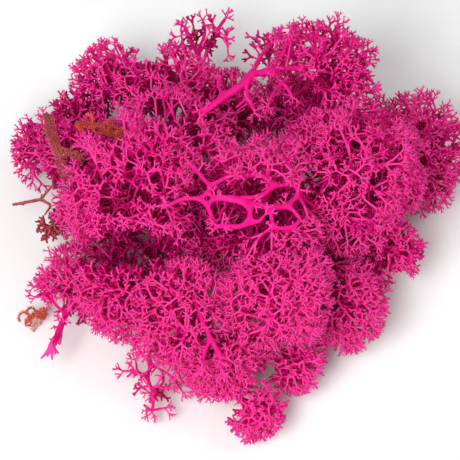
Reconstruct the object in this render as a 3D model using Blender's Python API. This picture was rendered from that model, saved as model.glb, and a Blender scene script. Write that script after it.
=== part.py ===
"""A clump of dyed reindeer moss: tufts of branching lichen heaped on a flat surface.

Every tuft grows from its own base towards its own crown, and keeps to its own cell of the clump,
so that no branch crosses another tuft. Sizes and places are in millimetres until a mesh is made.
X is to the right, Y is to the back and Z is up, from the surface that the clump rests on.
"""

import math
import random
from itertools import permutations

import bmesh
import bpy
from mathutils import Matrix, Vector
from mathutils.bvhtree import BVHTree

MM = 0.001
CLUMP = "reindeer_moss_clump"
CENTRE_OF_CLUMP = Vector((1.6, 2.5, 0.0))

# Thickness: the corners of a ring stand out by SECTION, so that it is as wide as a round branch
SIDES = 3
STEM_SIDES = 4
SECTION = 1.3
TIP_RADIUS = 0.30
THICKENING = 0.30
TAPER = 0.94
TIP_TAPER = 0.9
TRUNK_FLARE = 1.25
FOOT_FLARE = 1.8

# Branching: steps are shares of the way to the shoots that a limb carries
SMALLEST_STEP = 1.4
TRUNK_STEP = 0.36
MAIN_STEP = 0.36
SIDE_STEP = 0.42
MAIN_FROM = 8
BENT_FROM = 4
THREE_WAY = 0.6
LEAVE_SHARE = 0.25
BEND_SHARE = 0.45
BEND_RADII = 2.4
WOBBLE = 0.14
ATTEMPTS = 5
FORK_LIFT = 0.7
FORK_TURNS = 12
GROUPING_ROUNDS = 6
SEASONS = 8

# Shoots and their spikes
TARGETS_PER_SHOOT = 1.38
TARGET_SPACING = 2.9
CROWN_SURFACE = 0.94
CROWN_DEPTH = 0.1
DEEPEST_PULL = 0.5
MOST_TURN_BACK = math.radians(118)
SPIKE = 2.0
SPIKE_LENGTHS = (0.8, 1.2)
SPIKE_TILT = math.radians(42)
SPIKE_TILTS = (0.75, 1.15)
SHORTEST_SHOOT = 0.35
SPIKE_FREE = 0.8
TOUCHING_SHARES = (0.5, 0.35, 0.2)

# Where tufts touch, stand on the surface and carry the moss and twigs
TOUCH_GAP = 0.3
TOUCHING_CHAINS = 2
TOUCH_WORTH = 1
SEAT_WORTH = 4
LIMB_WORTH = 12
SEAT_AT = 0.6
MEETING_RINGS = 4
MEETING_TURNS = 6
MEETING_STEP = 0.17
MEETING_REACH = 0.98
FARTHEST_MEETING = 1.05
FLOOR_REACH = 1.5
FEET = 2
FOOT_TURN = math.radians(70)
FOOT_REACH = 0.4
FOOT_HEIGHTS = (1, 2)

# Clearances
WALL_MARGIN = 0.35
TIP_MARGIN = 0.18
LIMB_GAP = 0.25
CLEAR_SECTION = 1.1
HALVINGS = 12
SAME_POINT = 1e-6

# Moss strands and twigs
STEM_STEP = 0.9
LEAFY_SHARE = 0.6
LEAF_LEAN = 0.7
LEAF_RISE = 0.6
LEAF_LENGTHS = (0.7, 1)
CUT_TAPER = 0.8
ARM_TAPERS = (0.8, 0.6)

# Colours, as linear red, green and blue
DEEP_PINK = (0.35, 0.003, 0.09)
BRIGHT_PINK = (0.75, 0.012, 0.24)
HIGHEST_CROWN = 29.0
BROWN_MOSS = (0.27, 0.055, 0.03)
ORANGE_MOSS = (0.5, 0.1, 0.02)
RED_BARK = (0.28, 0.05, 0.05)
GREEN_BARK = (0.09, 0.07, 0.03)
GREY_BARK = (0.3, 0.17, 0.12)
SCRAP_BROWN = (0.33, 0.03, 0.045)
LICHEN_ROUGHNESS = 0.6
DRY_ROUGHNESS = 0.8

# name: base of the trunk, middle of the crown, reach of the crown, number of shoots
TUFT_TABLE = {
    "tuft_back_sprig": ((-5.0, 31.0, 9), (-4.4, 42.0, 19), 8.0, 13),
    "tuft_back_spur": ((8.5, 35.5, 6), (10.0, 43.0, 11), 7.0, 8),
    "tuft_top_right": ((-5.0, 16.5, 34), (18.0, 27.5, 28), 13.5, 44),
    "tuft_right_back": ((29.0, 16.5, 9), (37.0, 23.0, 11), 13.0, 30),
    "tuft_right_crown": ((14.5, 5.0, 14), (23.5, 6.5, 25), 15.5, 50),
    "tuft_centre_crown": ((-6.5, -6.5, 29), (5.0, -3.0, 26.5), 15.5, 56),
    "tuft_right_low": ((25.0, 2.0, 7), (32.0, -2.5, 10), 9.0, 22),
    "tuft_right_front": ((14.5, -10.5, 14), (24.0, -15.5, 11), 11.5, 26),
    "tuft_front_right": ((10.5, -18.5, 10), (13.6, -27.5, 8), 8.5, 20),
    "tuft_front_lobe": ((-1.5, -31.0, 8), (5.2, -36.6, 7), 7.2, 18),
    "tuft_front_centre": ((-7.0, -19.5, 24), (-0.5, -27.0, 14), 10.0, 28),
    "tuft_centre_front": ((7.5, -11.5, 12), (8.5, -18.5, 22), 12.5, 28),
    "tuft_front_sprig": ((-9.5, -21.0, 6), (-15.5, -29.5, 5), 8.5, 14),
    "tuft_front_left": ((-5.0, -13.5, 12), (-8.5, -20.5, 17), 12.5, 28),
    "tuft_left_low": ((-35.0, -20.5, 5), (-30.5, -9.5, 8), 10.5, 26),
    "tuft_left_front": ((-15.5, -7.5, 8), (-20.5, -13.0, 15), 11.5, 26),
    "tuft_left_crown": ((-13.5, 0.0, 15), (-19.5, 2.0, 27), 15.5, 50),
    "tuft_left_back": ((-8.5, 7.5, 13), (-11.5, 14.0, 24), 12.5, 30),
    "tuft_left_edge": ((-32.0, 17.5, 8), (-37.5, 21.5, 8), 10.0, 18),
    "tuft_left_upper": ((-22.5, 10.5, 10), (-29.0, 14.5, 15), 9.5, 22),
    "tuft_upper_left": ((-18.5, 27.0, 9), (-23.5, 36.0, 13), 10.0, 24),
    "tuft_upper_edge": ((-28.0, 26.5, 8), (-32.5, 31.5, 8), 9.0, 14),
    "tuft_back_left": ((-11.5, 23.0, 10), (-13.5, 32.5, 17), 10.5, 22),
    "tuft_back_centre": ((0.0, 20.5, 6), (0.0, 27.0, 11), 10.0, 18),
    "tuft_back_right": ((13.5, 21.0, 6), (14.5, 30.0, 10), 10.5, 20),
    "tuft_under_centre": ((0.0, 3.0, 0), (0.0, 4.0, 11), 14.0, 22),
    "tuft_under_right": ((16.5, -1.0, 0), (17.5, -2.0, 9), 13.0, 22),
    "tuft_under_left": ((-15.5, 1.0, 0), (-14.5, -1.0, 9), 13.0, 22),
    "brown_lichen_scrap": ((-33.0, 1.0, 9), (-36.0, 3.5, 9.5), 4.0, 9),
}

# Where two trunks fork that show from above
HUB_TABLE = {
    "tuft_centre_crown": (-4.6, -5.9, 37.5),
    "tuft_top_right": (5.0, 22.5, 34.0),
}

# Bare limbs that lie round the hub of the middle tuft, like a net, and sink away from it.
# name: what it leaves, radius, route as (x, y)
LIMB_TABLE = {
    "tuft_centre_crown": {
        "left": ("trunk", 0.6, ((-7.8, -6.2),)),
        "back": ("trunk", 0.6, ((-3.6, -3.0), (-2.6, -1.2))),
        "right": ("trunk", 0.8, ((0.2, -6.1), (3.8, -7.0))),
        "back_left": ("back", 0.5, ((-5.4, 0.4), (-6.4, 2.2))),
        "back_right": ("back", 0.5, ((0.4, 1.2), (3.2, 3.6))),
        "front": ("right", 0.65, ((3.5, -9.8), (3.2, -12.2))),
        "front_left": ("front", 0.5, ((0.6, -13.4), (-2.0, -13.2))),
        "front_right": ("front", 0.5, ((6.0, -14.2),)),
        "loop": ("right", 0.5, ((6.8, -4.8), (8.0, -2.4))),
        "far_right": ("right", 0.65, ((7.6, -8.1), (11.0, -7.9))),
        "outer": ("far_right", 0.5, ((13.2, -5.0), (12.8, -0.6), (11.4, 3.4))),
        "outer_front": ("far_right", 0.5, ((14.4, -10.2),)),
    },
}
LIMB_FALL = 0.010

# Where no shoot ends above those limbs: middle and half widths of an ellipse, and its lowest height
HUB_HOLLOW = ((2.6, -6.4), (12.0, 7.4), 27.0)

# name: route of the stem, radius at its start and end, length of its leaves or knots, colour
STEM_TABLE = {
    "feather_moss_strand": (
        ((-37.4, 25.5, 18.3), (-36.4, 20.5, 20.5), (-35.0, 15.5, 22.0), (-33.0, 9.0, 20.8)),
        (0.35, 0.6),
        1.1,
        BROWN_MOSS,
    ),
    "orange_moss_sprig": (
        ((-30.5, 20.8, 22.5), (-28.5, 19.3, 23.8), (-26.0, 18.6, 24.0), (-23.6, 16.6, 24.2)),
        (0.3, 0.25),
        0.8,
        ORANGE_MOSS,
    ),
    "forked_twig": (
        ((-44.2, 9.4, 9.0), (-41.5, 9.6, 9.6), (-38.6, 10.0, 10.0)),
        (0.2, 0.3),
        0.3,
        RED_BARK,
    ),
    "green_twig": (
        ((3.6, 34.6, 16.0), (5.6, 38.0, 17.6), (7.4, 41.2, 19.0)),
        (0.55, 0.3),
        0.3,
        GREEN_BARK,
    ),
    "mossy_twig": (
        ((-40.0, -15.2, 0.6), (-38.0, -12.6, 2.0), (-36.2, -10.2, 2.6)),
        (0.45, 0.35),
        0.2,
        GREY_BARK,
    ),
    "twig_moss_cuff": (
        ((-41.2, -14.4, 2.7), (-40.2, -13.8, 3.4), (-38.8, -13.0, 4.1), (-37.3, -12.3, 4.5)),
        (0.35, 0.3),
        0.8,
        ORANGE_MOSS,
    ),
}
ARM_TABLE = {
    "forked_twig": (
        ((-37.2, 11.4, 10.6), (-35.8, 13.2, 11.0)),
        ((-36.5, 8.6, 10.2), (-37.4, 6.4, 10.3)),
    ),
}


class Tuft:
    """One tuft of lichen: where its trunk starts, and the round crown that it fills."""

    def __init__(self, name, base, crown, reach, shoots):
        self.name = name
        self.base = Vector(base)
        self.crown = Vector(crown)
        self.reach = reach
        self.shoots = shoots
        self.rng = None
        self.stretches = []
        self.touches = []
        self.seats = []

    @property
    def axis(self):
        """The direction in which the crown opens."""
        return (self.crown - self.base).normalized()

    @property
    def trunk_stretch(self):
        """(start, end, radius, start) of the trunk, which goes straight up from the surface."""
        radius = radius_for(self.shoots)
        if self.name in HUB_TABLE:
            return (self.base, Vector(HUB_TABLE[self.name]), radius, self.base)
        along = Vector((0, 0, 1)) if self.base.z == 0 else self.axis
        end = self.base + along * max(SMALLEST_STEP, TRUNK_STEP * (self.crown - self.base).length)
        end = kept_in(end, self, WALL_MARGIN + SECTION * radius)
        return (self.base, end, radius, self.base)

    @property
    def bare_routes(self):
        """name: the points of each bare limb, from what it leaves to its end."""
        routes = {"trunk": [Vector(HUB_TABLE.get(self.name, self.base))]}
        hub = routes["trunk"][0]
        for name, (source, _, plan) in LIMB_TABLE.get(self.name, {}).items():
            falls = [LIMB_FALL * ((x - hub.x) ** 2 + (y - hub.y) ** 2) for x, y in plan]
            points = [Vector((x, y, hub.z - fall)) for (x, y), fall in zip(plan, falls)]
            routes[name] = [routes[source][-1], *points]
        return routes

    @property
    def bare_stretches(self):
        """(start, end, radius, start) along the trunk and the bare limbs."""
        stretches = [self.trunk_stretch]
        routes = self.bare_routes
        for name, (_, radius, _) in LIMB_TABLE.get(self.name, {}).items():
            route = routes[name]
            stretches += [(a, b, radius, a) for a, b in zip(route, route[1:])]
        return stretches


class Stem:
    """A strand of moss or a twig caught in the clump: its route, thickness and leaves or knots."""

    def __init__(self, name, route, radii, leaf, colour):
        self.name = name
        self.route = [Vector(point) for point in route]
        self.radii = radii
        self.leaf = leaf
        self.colour = colour

    @property
    def envelope(self):
        return max(self.radii) + self.leaf * LEAF_RISE

    @property
    def arms(self):
        return [[self.route[-1], *map(Vector, arm)] for arm in ARM_TABLE.get(self.name, ())]

    @property
    def stretches(self):
        routes = [self.route, *self.arms]
        return [(a, b, self.envelope, a) for route in routes for a, b in zip(route, route[1:])]


TUFTS = [Tuft(name, *row) for name, row in TUFT_TABLE.items()]
STEMS = [Stem(name, *row) for name, row in STEM_TABLE.items()]


# Cells: the space shared out between the tufts


def inset_from(point, tuft, other):
    """How far a point lies on the tuft's side of the plane between it and another."""
    across = (other.crown - tuft.crown).length
    own = (point - tuft.crown).length_squared - tuft.reach**2
    theirs = (point - other.crown).length_squared - other.reach**2
    return (theirs - own) / (2 * across)


def room(point, tuft, besides=None):
    """How far a point lies inside its tuft's cell, above the surface and clear of the other cells."""
    others = (other for other in TUFTS if other is not tuft and other is not besides)
    return min([point.z] + [inset_from(point, tuft, other) for other in others])


def kept_in(point, tuft, margin):
    """The point, pulled towards the middle of the crown until it is that far inside the cell."""
    if room(point, tuft) >= margin:
        return point.copy()
    inside, outside = 0.0, 1.0
    for _ in range(HALVINGS):
        middle = (inside + outside) / 2
        if room(tuft.crown.lerp(point, middle), tuft) >= margin:
            inside = middle
        else:
            outside = middle
    return tuft.crown.lerp(point, inside)


# Targets: where the shoots of a crown end


def even_directions(count):
    """Directions spread evenly over a sphere, by the golden angle."""
    golden = math.pi * (3 - math.sqrt(5))
    for k in range(count):
        z = 1 - 2 * (k + 0.5) / count
        across = math.sqrt(1 - z * z)
        yield Vector((across * math.cos(golden * k), across * math.sin(golden * k), z))


def shoot_targets(tuft):
    """Points over the crown and within it, in the cell, that the shoots grow to."""
    found = []
    turned = tuft.axis.to_track_quat("Z", "Y")
    for direction in even_directions(round(tuft.shoots * TARGETS_PER_SHOOT)):
        aim = turned @ direction
        if aim.angle(tuft.axis) > MOST_TURN_BACK:
            continue
        depth = CROWN_SURFACE - CROWN_DEPTH * tuft.rng.random()
        wanted = tuft.crown + aim * tuft.reach * depth
        target = kept_in(wanted, tuft, WALL_MARGIN + TIP_RADIUS)
        if (target - tuft.crown).length < DEEPEST_PULL * tuft.reach or in_hub_hollow(target):
            continue
        if all((target - other).length > TARGET_SPACING for other in found):
            found.append(target)
    return found


def in_hub_hollow(point):
    """Whether a point lies over the bare limbs of the hub."""
    middle, half, lowest = HUB_HOLLOW
    return point.z > lowest and sum(((p - m) / h) ** 2 for p, m, h in zip(point, middle, half)) < 1


class Shoot:
    """The end of a branch: a trident of short spikes, or one spike whose touch is worth something."""

    def __init__(self, end, worth=0):
        self.end = end
        self.worth = worth


def touch_point(tuft, other):
    """(room left, point) for the best place, on the plane between two tufts, where they can meet."""
    across = other.crown - tuft.crown
    along = inset_from(tuft.crown, tuft, other)
    normal = across.normalized()
    middle = tuft.crown + normal * along
    side = normal.orthogonal().normalized()
    best = (-1.0, middle)
    for ring in range(MEETING_RINGS):
        for turn in range(MEETING_TURNS):
            out = Matrix.Rotation(math.tau * turn / MEETING_TURNS, 3, normal) @ side
            point = middle + out * ring * MEETING_STEP * min(tuft.reach, other.reach)
            free = min(room(point, tuft, other), room(point, other, tuft))
            within = min(t.reach * MEETING_REACH - (point - t.crown).length for t in (tuft, other))
            best = max(best, (min(free, within), point), key=lambda found: found[0])
    return best


def meeting_pairs():
    """(nearness, tuft, other, point) for each two tufts that can touch, the closest first."""
    pairs = []
    for i, tuft in enumerate(TUFTS):
        for other in TUFTS[i + 1 :]:
            spread = (other.crown - tuft.crown).length / (tuft.reach + other.reach)
            if spread < FARTHEST_MEETING:
                free, point = touch_point(tuft, other)
                if free > WALL_MARGIN + TIP_RADIUS:
                    pairs.append((spread, tuft, other, point))
    return sorted(pairs, key=lambda pair: pair[0])


def join_neighbours():
    """Tufts touch tip to tip, along two separate chains through the whole heap."""
    pairs = meeting_pairs()
    for _ in range(TOUCHING_CHAINS):
        group = {tuft.name: tuft.name for tuft in TUFTS}
        for pair in list(pairs):
            _, tuft, other, point = pair
            if group[tuft.name] == group[other.name]:
                continue
            pairs.remove(pair)
            old, new = group[other.name], group[tuft.name]
            group = {name: new if root == old else root for name, root in group.items()}
            towards = (other.crown - tuft.crown).normalized() * TOUCH_GAP / 2
            tuft.touches.append(point - towards)
            other.touches.append(point + towards)


def stand_on_surface(tuft):
    """The lowest spikes of a tuft near the surface end on it."""
    if tuft.crown.z - tuft.reach > FLOOR_REACH:
        return
    outward = Vector((tuft.crown.x, tuft.crown.y, 0)).normalized()
    found = []
    for turn in (-1, 1, 0):
        away = Matrix.Rotation(turn * FOOT_TURN, 3, "Z") @ outward
        foot = tuft.crown + away * tuft.reach * FOOT_REACH
        foot.z = 0
        if all(room(foot + Vector((0, 0, height)), tuft) > WALL_MARGIN for height in FOOT_HEIGHTS):
            found.append(foot)
    tuft.touches += found[:FEET]


def seat_stem(stem):
    """The stem lies on spikes of the tufts under it, one to every second stretch."""
    for start, end, reach, _ in stem.stretches[1::2]:
        point = start.lerp(end, SEAT_AT)
        tuft = min(TUFTS, key=lambda tuft: (point - tuft.crown).length_squared - tuft.reach**2)
        inward = (tuft.crown - point).normalized()
        tuft.seats.append(point + inward * (reach + TOUCH_GAP))


# Growth: the skeleton of each tuft


class Limb:
    """A stretch of branch: the fork it leaves, the side it leaves by, its rings, and what it carries."""

    def __init__(self, fork, side, rings):
        self.fork = fork
        self.side = side
        self.rings = rings
        self.children = []
        self.spikes = []
        self.corner = -side
        self.worth = 0
        self.dropped = False

    @property
    def end(self):
        return self.rings[-1][0]

    @property
    def heading(self):
        before = self.rings[-2][0] if len(self.rings) > 1 else self.fork
        return (self.end - before).normalized()


def radius_for(count):
    """How thick a limb is that carries so many shoots."""
    return TIP_RADIUS * count**THICKENING


def mean_of(points):
    return sum(points, Vector()) / len(points)


def clusters(shoots, origin, count):
    """The shoots in up to that many groups, by their direction from a point."""
    rays = [(shoot.end - origin).normalized() for shoot in shoots]
    mean = mean_of(rays)
    centres = [min(rays, key=lambda ray: ray.dot(mean))]
    while len(centres) < count:
        centres.append(min(rays, key=lambda ray: max(ray.dot(centre) for centre in centres)))
    for _ in range(GROUPING_ROUNDS):
        groups = [[] for _ in centres]
        for k, ray in enumerate(rays):
            groups[max(range(len(centres)), key=lambda c: ray.dot(centres[c]))].append(k)
        groups = [group for group in groups if group]
        centres = [mean_of([rays[k] for k in group]).normalized() for group in groups]
    return [[shoots[k] for k in group] for group in groups]


def distance_between(a, b, c, d):
    """The least distance between the stretches a to b and c to d."""
    u, v, w = b - a, d - c, a - c
    uu, uv, vv, uw, vw = u.dot(u), u.dot(v), v.dot(v), u.dot(w), v.dot(w)
    slack = uu * vv - uv * uv
    s = min(1.0, max(0.0, (uv * vw - vv * uw) / slack)) if slack > SAME_POINT**2 else 0.0
    t = min(1.0, max(0.0, (uv * s + vw) / vv)) if vv > SAME_POINT**2 else 0.0
    s = min(1.0, max(0.0, (uv * t - uw) / uu)) if uu > SAME_POINT**2 else 0.0
    return (w + u * s - v * t).length


def is_clear(tuft, a, b, radius, fork):
    """Whether a stretch keeps clear of other branches, apart from those that meet it at its fork."""
    for c, d, other, source in tuft.stretches + obstacles_for(tuft):
        if (d - fork).length < SAME_POINT:
            continue
        gap = 0.0 if (source - fork).length < SAME_POINT else LIMB_GAP
        if distance_between(a, b, c, d) < (radius + other) * CLEAR_SECTION + gap:
            return False
    return True


def obstacles_for(tuft):
    """The trunks and bare limbs of the other tufts, and the moss and twigs caught in the clump."""
    bare = [stretch for other in TUFTS if other is not tuft for stretch in other.bare_stretches]
    return bare + [stretch for stem in STEMS for stretch in stem.stretches]


def open_fork(axis, rays):
    """(first corner, sides): a three-sided fork turned so that a side looks along each ray."""
    flat = [(ray - axis * ray.dot(axis)).normalized() for ray in rays]
    start = axis.orthogonal().normalized()
    best = (-math.inf, start, [])
    for step in range(FORK_TURNS):
        corner = Matrix.Rotation(math.tau / SIDES * step / FORK_TURNS, 3, axis) @ start
        looks = [-(Matrix.Rotation(math.tau * k / SIDES, 3, axis) @ corner) for k in range(SIDES)]
        for sides in permutations(looks, len(flat)):
            fit = sum(side.dot(ray) for side, ray in zip(sides, flat))
            best = max(best, (fit, corner, sides), key=lambda found: found[0])
    return best[1], best[2]


def add_trident(tuft, limb):
    """Short spikes that open round the end of a limb."""
    spin = Matrix.Rotation(tuft.rng.uniform(0, math.tau), 3, limb.heading)
    limb.corner = spin @ limb.heading.orthogonal().normalized()
    for k in range(SIDES):
        out = -(Matrix.Rotation(math.tau * k / SIDES, 3, limb.heading) @ limb.corner)
        tilt = SPIKE_TILT * tuft.rng.uniform(*SPIKE_TILTS)
        aim = limb.heading * math.cos(tilt) + out * math.sin(tilt)
        tip = limb.end + aim * SPIKE * tuft.rng.uniform(*SPIKE_LENGTHS)
        tip = kept_in(tip, tuft, TIP_MARGIN)
        if is_clear(tuft, limb.end.lerp(tip, 0.5), tip, TIP_RADIUS / 2, limb.fork):
            limb.spikes.append(tip)
    tuft.stretches += [(limb.end, tip, TIP_RADIUS / 2, limb.fork) for tip in limb.spikes]


def open_branches(tuft, limb, shoots):
    """Forks the end of a limb, with a thinner limb for each group of shoots."""
    three = len(shoots) > 2 and tuft.rng.random() < THREE_WAY
    groups = clusters(shoots, limb.end, 3 if three else 2)
    rays = [mean_of([shoot.end for shoot in group]) - limb.end for group in groups]
    limb.corner, sides = open_fork(limb.heading, rays)
    for side, group in sorted(zip(sides, groups), key=lambda pair: -len(pair[1])):
        child = grow(tuft, limb, side, group)
        for shoot in [shoot for shoot in group if shoot.worth]:
            child = child or grow(tuft, limb, side, [shoot])
        if child:
            limb.children.append(child)
    if not limb.children:
        add_trident(tuft, limb)


def grow(tuft, carrier, side, shoots):
    """The limb that leaves the end of another and carries these shoots, or None where it has no room."""
    fork = carrier.end
    radius = radius_for(len(shoots))
    to = mean_of([shoot.end for shoot in shoots]) - fork
    leave = (carrier.heading + side).normalized()
    aim = to.normalized().lerp(leave, LEAVE_SHARE).normalized()
    if len(shoots) == 1:
        return grow_shoot(tuft, fork, side, aim, shoots[0])
    step = max(SMALLEST_STEP, (MAIN_STEP if len(shoots) > MAIN_FROM else SIDE_STEP) * to.length)
    for attempt in range(ATTEMPTS):
        wobble = Vector([tuft.rng.uniform(-1, 1) for _ in range(3)]) * step * WOBBLE * (1 + attempt)
        end = kept_in(fork + aim * step + wobble, tuft, WALL_MARGIN + SECTION * radius)
        bend = fork + leave * min(BEND_SHARE * (end - fork).length, BEND_RADII * radius)
        if (end - bend).length > radius and is_clear(tuft, bend, end, radius, fork):
            break
    else:
        return None
    tuft.stretches.append((bend, end, radius, fork))
    limb = Limb(fork, side, [(bend, radius), (end, radius * TAPER)])
    if len(shoots) < BENT_FROM:
        limb.rings = limb.rings[1:]
    open_branches(tuft, limb, shoots)
    return limb


def grow_shoot(tuft, fork, side, aim, shoot):
    """The last limb before a trident, or before the one spike that touches something."""
    reach = (shoot.end - fork).length
    shares = TOUCHING_SHARES if shoot.worth else [max(SHORTEST_SHOOT, 1 - SPIKE_FREE * SPIKE / reach)]
    for share in shares:
        end = kept_in(fork + aim * reach * share, tuft, WALL_MARGIN + SECTION * TIP_RADIUS)
        near = fork.lerp(end, BEND_SHARE)
        if is_clear(tuft, near, end, TIP_RADIUS, fork):
            break
    else:
        return None
    limb = Limb(fork, side, [(end, TIP_RADIUS * TIP_TAPER)])
    tuft.stretches.append((near, end, TIP_RADIUS, fork))
    limb.worth = shoot.worth
    if shoot.worth:
        limb.spikes = [shoot.end]
    else:
        add_trident(tuft, limb)
    return limb


def lay_limbs(tuft, trunk):
    """Lays the bare limbs of a tuft along their routes. Gives those that carry no other."""
    rows = LIMB_TABLE.get(tuft.name, {})
    routes = tuft.bare_routes
    laid = {"trunk": trunk}
    for source in dict.fromkeys(source for source, _, _ in rows.values()):
        carrier = laid[source]
        leaving = {name: radius for name, (other, radius, _) in rows.items() if other == source}
        rays = [routes[name][1] - carrier.end for name in leaving]
        carrier.corner, sides = open_fork(carrier.heading, rays)
        for side, ray, (name, radius) in zip(sides, rays, leaving.items()):
            leave = (carrier.heading + side).normalized()
            bend = carrier.end + leave * min(BEND_SHARE * ray.length, BEND_RADII * radius)
            laid[name] = Limb(carrier.end, side, [(point, radius) for point in (bend, *routes[name][1:])])
            laid[name].worth = LIMB_WORTH
            carrier.children.append(laid[name])
    return [limb for limb in laid.values() if not limb.children]


def grow_tuft(tuft, season):
    """The skeleton of a tuft, from its trunk to its shoots, with its chances drawn for that season."""
    tuft.rng = random.Random(f"{tuft.name} {season}")
    tuft.stretches = tuft.bare_stretches
    shoots = [Shoot(end) for end in shoot_targets(tuft)]
    shoots += [Shoot(point, TOUCH_WORTH) for point in tuft.touches]
    shoots += [Shoot(point, SEAT_WORTH) for point in tuft.seats]
    _, end, radius, _ = tuft.trunk_stretch
    trunk = Limb(tuft.base, tuft.axis.orthogonal().normalized(), [(end, radius)])
    carriers = lay_limbs(tuft, trunk)
    carried = {limb: [] for limb in carriers}
    for shoot in shoots:
        carried[min(carriers, key=lambda limb: (limb.end - shoot.end).length)].append(shoot)
    for limb, group in carried.items():
        if group:
            open_branches(tuft, limb, group)
        else:
            add_trident(tuft, limb)
    return trunk


# Meshes: each tuft is one skin, drawn out of the top of its trunk face by face


def section(centre, normal, towards, radius, sides=SIDES):
    """The corners of a ring, anticlockwise about its normal, the first one towards a direction."""
    first = towards - normal * towards.dot(normal)
    first = first.normalized() if first.length > SAME_POINT else normal.orthogonal().normalized()
    turned = (Matrix.Rotation(math.tau * k / sides, 3, normal) @ first for k in range(sides))
    return [centre + spoke * radius * SECTION for spoke in turned]


def draw_out(bm, face, corners):
    """Extrudes a face to a new ring, corner to nearest corner."""
    new = bmesh.ops.extrude_discrete_faces(bm, faces=[face])["faces"][0]
    verts = [loop.vert for loop in new.loops]
    sides = len(verts)

    def twist(shift):
        return sum((verts[k].co - corners[(k + shift) % sides]).length_squared for k in range(sides))

    shift = min(range(sides), key=twist)
    for k in range(sides):
        verts[k].co = corners[(k + shift) % sides]
    return new


def raise_point(bm, face, point):
    """Splits a face into three round a raised point."""
    made = bmesh.ops.poke(bm, faces=[face])
    made["verts"][0].co = point
    return made["faces"]


def skin(bm, owner, limbs, face, limb):
    """Draws a limb out of a face, ring by ring, then forks it or brings it to its spikes."""
    face[owner] = len(limbs)
    limbs.append(limb)
    behind = limb.fork
    for k, (middle, radius) in enumerate(limb.rings):
        last = k == len(limb.rings) - 1
        ahead = middle if last else limb.rings[k + 1][0]
        normal = ((middle - behind).normalized() + (ahead - middle)).normalized()
        face = draw_out(bm, face, section(middle, normal, limb.corner if last else -limb.side, radius))
        behind = middle
    carried = [(child.side, child) for child in limb.children if not child.dropped]
    if len(limb.spikes) == 1:
        raise_point(bm, face, limb.spikes[0])
        return
    dome = limb.end + limb.heading * limb.rings[-1][1] * SECTION * FORK_LIFT
    sides = {part: part.calc_center_median() - limb.end for part in raise_point(bm, face, dome)}
    for side, child in carried:
        part = max(sides, key=lambda part: sides[part].dot(side))
        sides.pop(part)
        skin(bm, owner, limbs, part, child)
    for tip in limb.spikes:
        part = max(sides, key=lambda part: sides[part].dot(tip - limb.end))
        sides.pop(part)
        raise_point(bm, part, tip)


def skin_of(tuft, trunk):
    """The mesh of a tuft, and the limbs in the order of the numbers on its faces."""
    middle, radius = trunk.rings[-1]
    flare = FOOT_FLARE if tuft.base.z == 0 else TRUNK_FLARE
    along = middle - tuft.base
    turn = along.to_track_quat("Z", "Y").to_matrix().to_4x4()
    bm = bmesh.new()
    owner = bm.faces.layers.int.new("limb")
    bmesh.ops.create_cone(
        bm,
        cap_ends=True,
        segments=SIDES,
        radius1=radius * SECTION * flare,
        radius2=radius * SECTION,
        depth=along.length / 2,
        matrix=Matrix.Translation(tuft.base + along / 4) @ turn,
    )
    top = max(bm.faces, key=lambda face: (face.calc_center_median() - tuft.base).dot(along))
    limbs = []
    skin(bm, owner, limbs, top, trunk)
    bmesh.ops.triangulate(bm, faces=bm.faces)
    return bm, limbs


def crossing_faces(bm):
    """The pairs of faces that cross, with no corner in common."""
    bm.faces.ensure_lookup_table()
    tree = BVHTree.FromBMesh(bm)
    pairs = [(bm.faces[a], bm.faces[b]) for a, b in tree.overlap(tree) if a < b]
    return [(one, two) for one, two in pairs if not set(one.verts) & set(two.verts)]


def crossing_limbs(bm, limbs, finished):
    """The thinner limb of each two that cross, and each that crosses a finished mesh."""
    owner = bm.faces.layers.int["limb"]
    found = [limbs[max(one[owner], two[owner])] for one, two in crossing_faces(bm)]
    tree = BVHTree.FromBMesh(bm)
    for other in finished:
        found += [limbs[bm.faces[a][owner]] for a, _ in tree.overlap(other)]
    return found


def smooth_route(points, step):
    """Points about that far apart along a smooth curve through the given ones."""
    ends = [points[0] * 2 - points[1], *points, points[-1] * 2 - points[-2]]
    route = []
    for a, b, c, d in zip(ends, ends[1:], ends[2:], ends[3:]):
        count = max(1, round((c - b).length / step))
        for k in range(count):
            t = k / count
            curve = b * 2 + (c - a) * t + (a * 2 - b * 5 + c * 4 - d) * t**2
            route.append((curve + (b * 3 - a - c * 3 + d) * t**3) / 2)
    return [*route, points[-1]]


def draw_stem(bm, face, route, radii, leaf, rng):
    """Draws a stem out of a face along a route, with a leaf or knot raised from some of its sides."""
    sides = len(face.verts)
    towards = face.verts[0].co - face.calc_center_median()
    for k, (behind, point) in enumerate(zip(route, route[1:])):
        ahead = route[min(k + 2, len(route) - 1)]
        normal = (ahead - behind).normalized()
        share = (k + 1) / (len(route) - 1)
        radius = radii[0] + (radii[1] - radii[0]) * share
        face = draw_out(bm, face, section(point, normal, towards, radius, sides))
        walls = [wall for edge in face.edges for wall in edge.link_faces if wall is not face]
        for wall in walls:
            if rng.random() < LEAFY_SHARE:
                middle = wall.calc_center_median()
                out = (middle - (behind + point) / 2).normalized()
                length = leaf * rng.uniform(*LEAF_LENGTHS)
                raise_point(bm, wall, middle + (out + normal * LEAF_LEAN) * length)
    return face


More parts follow.
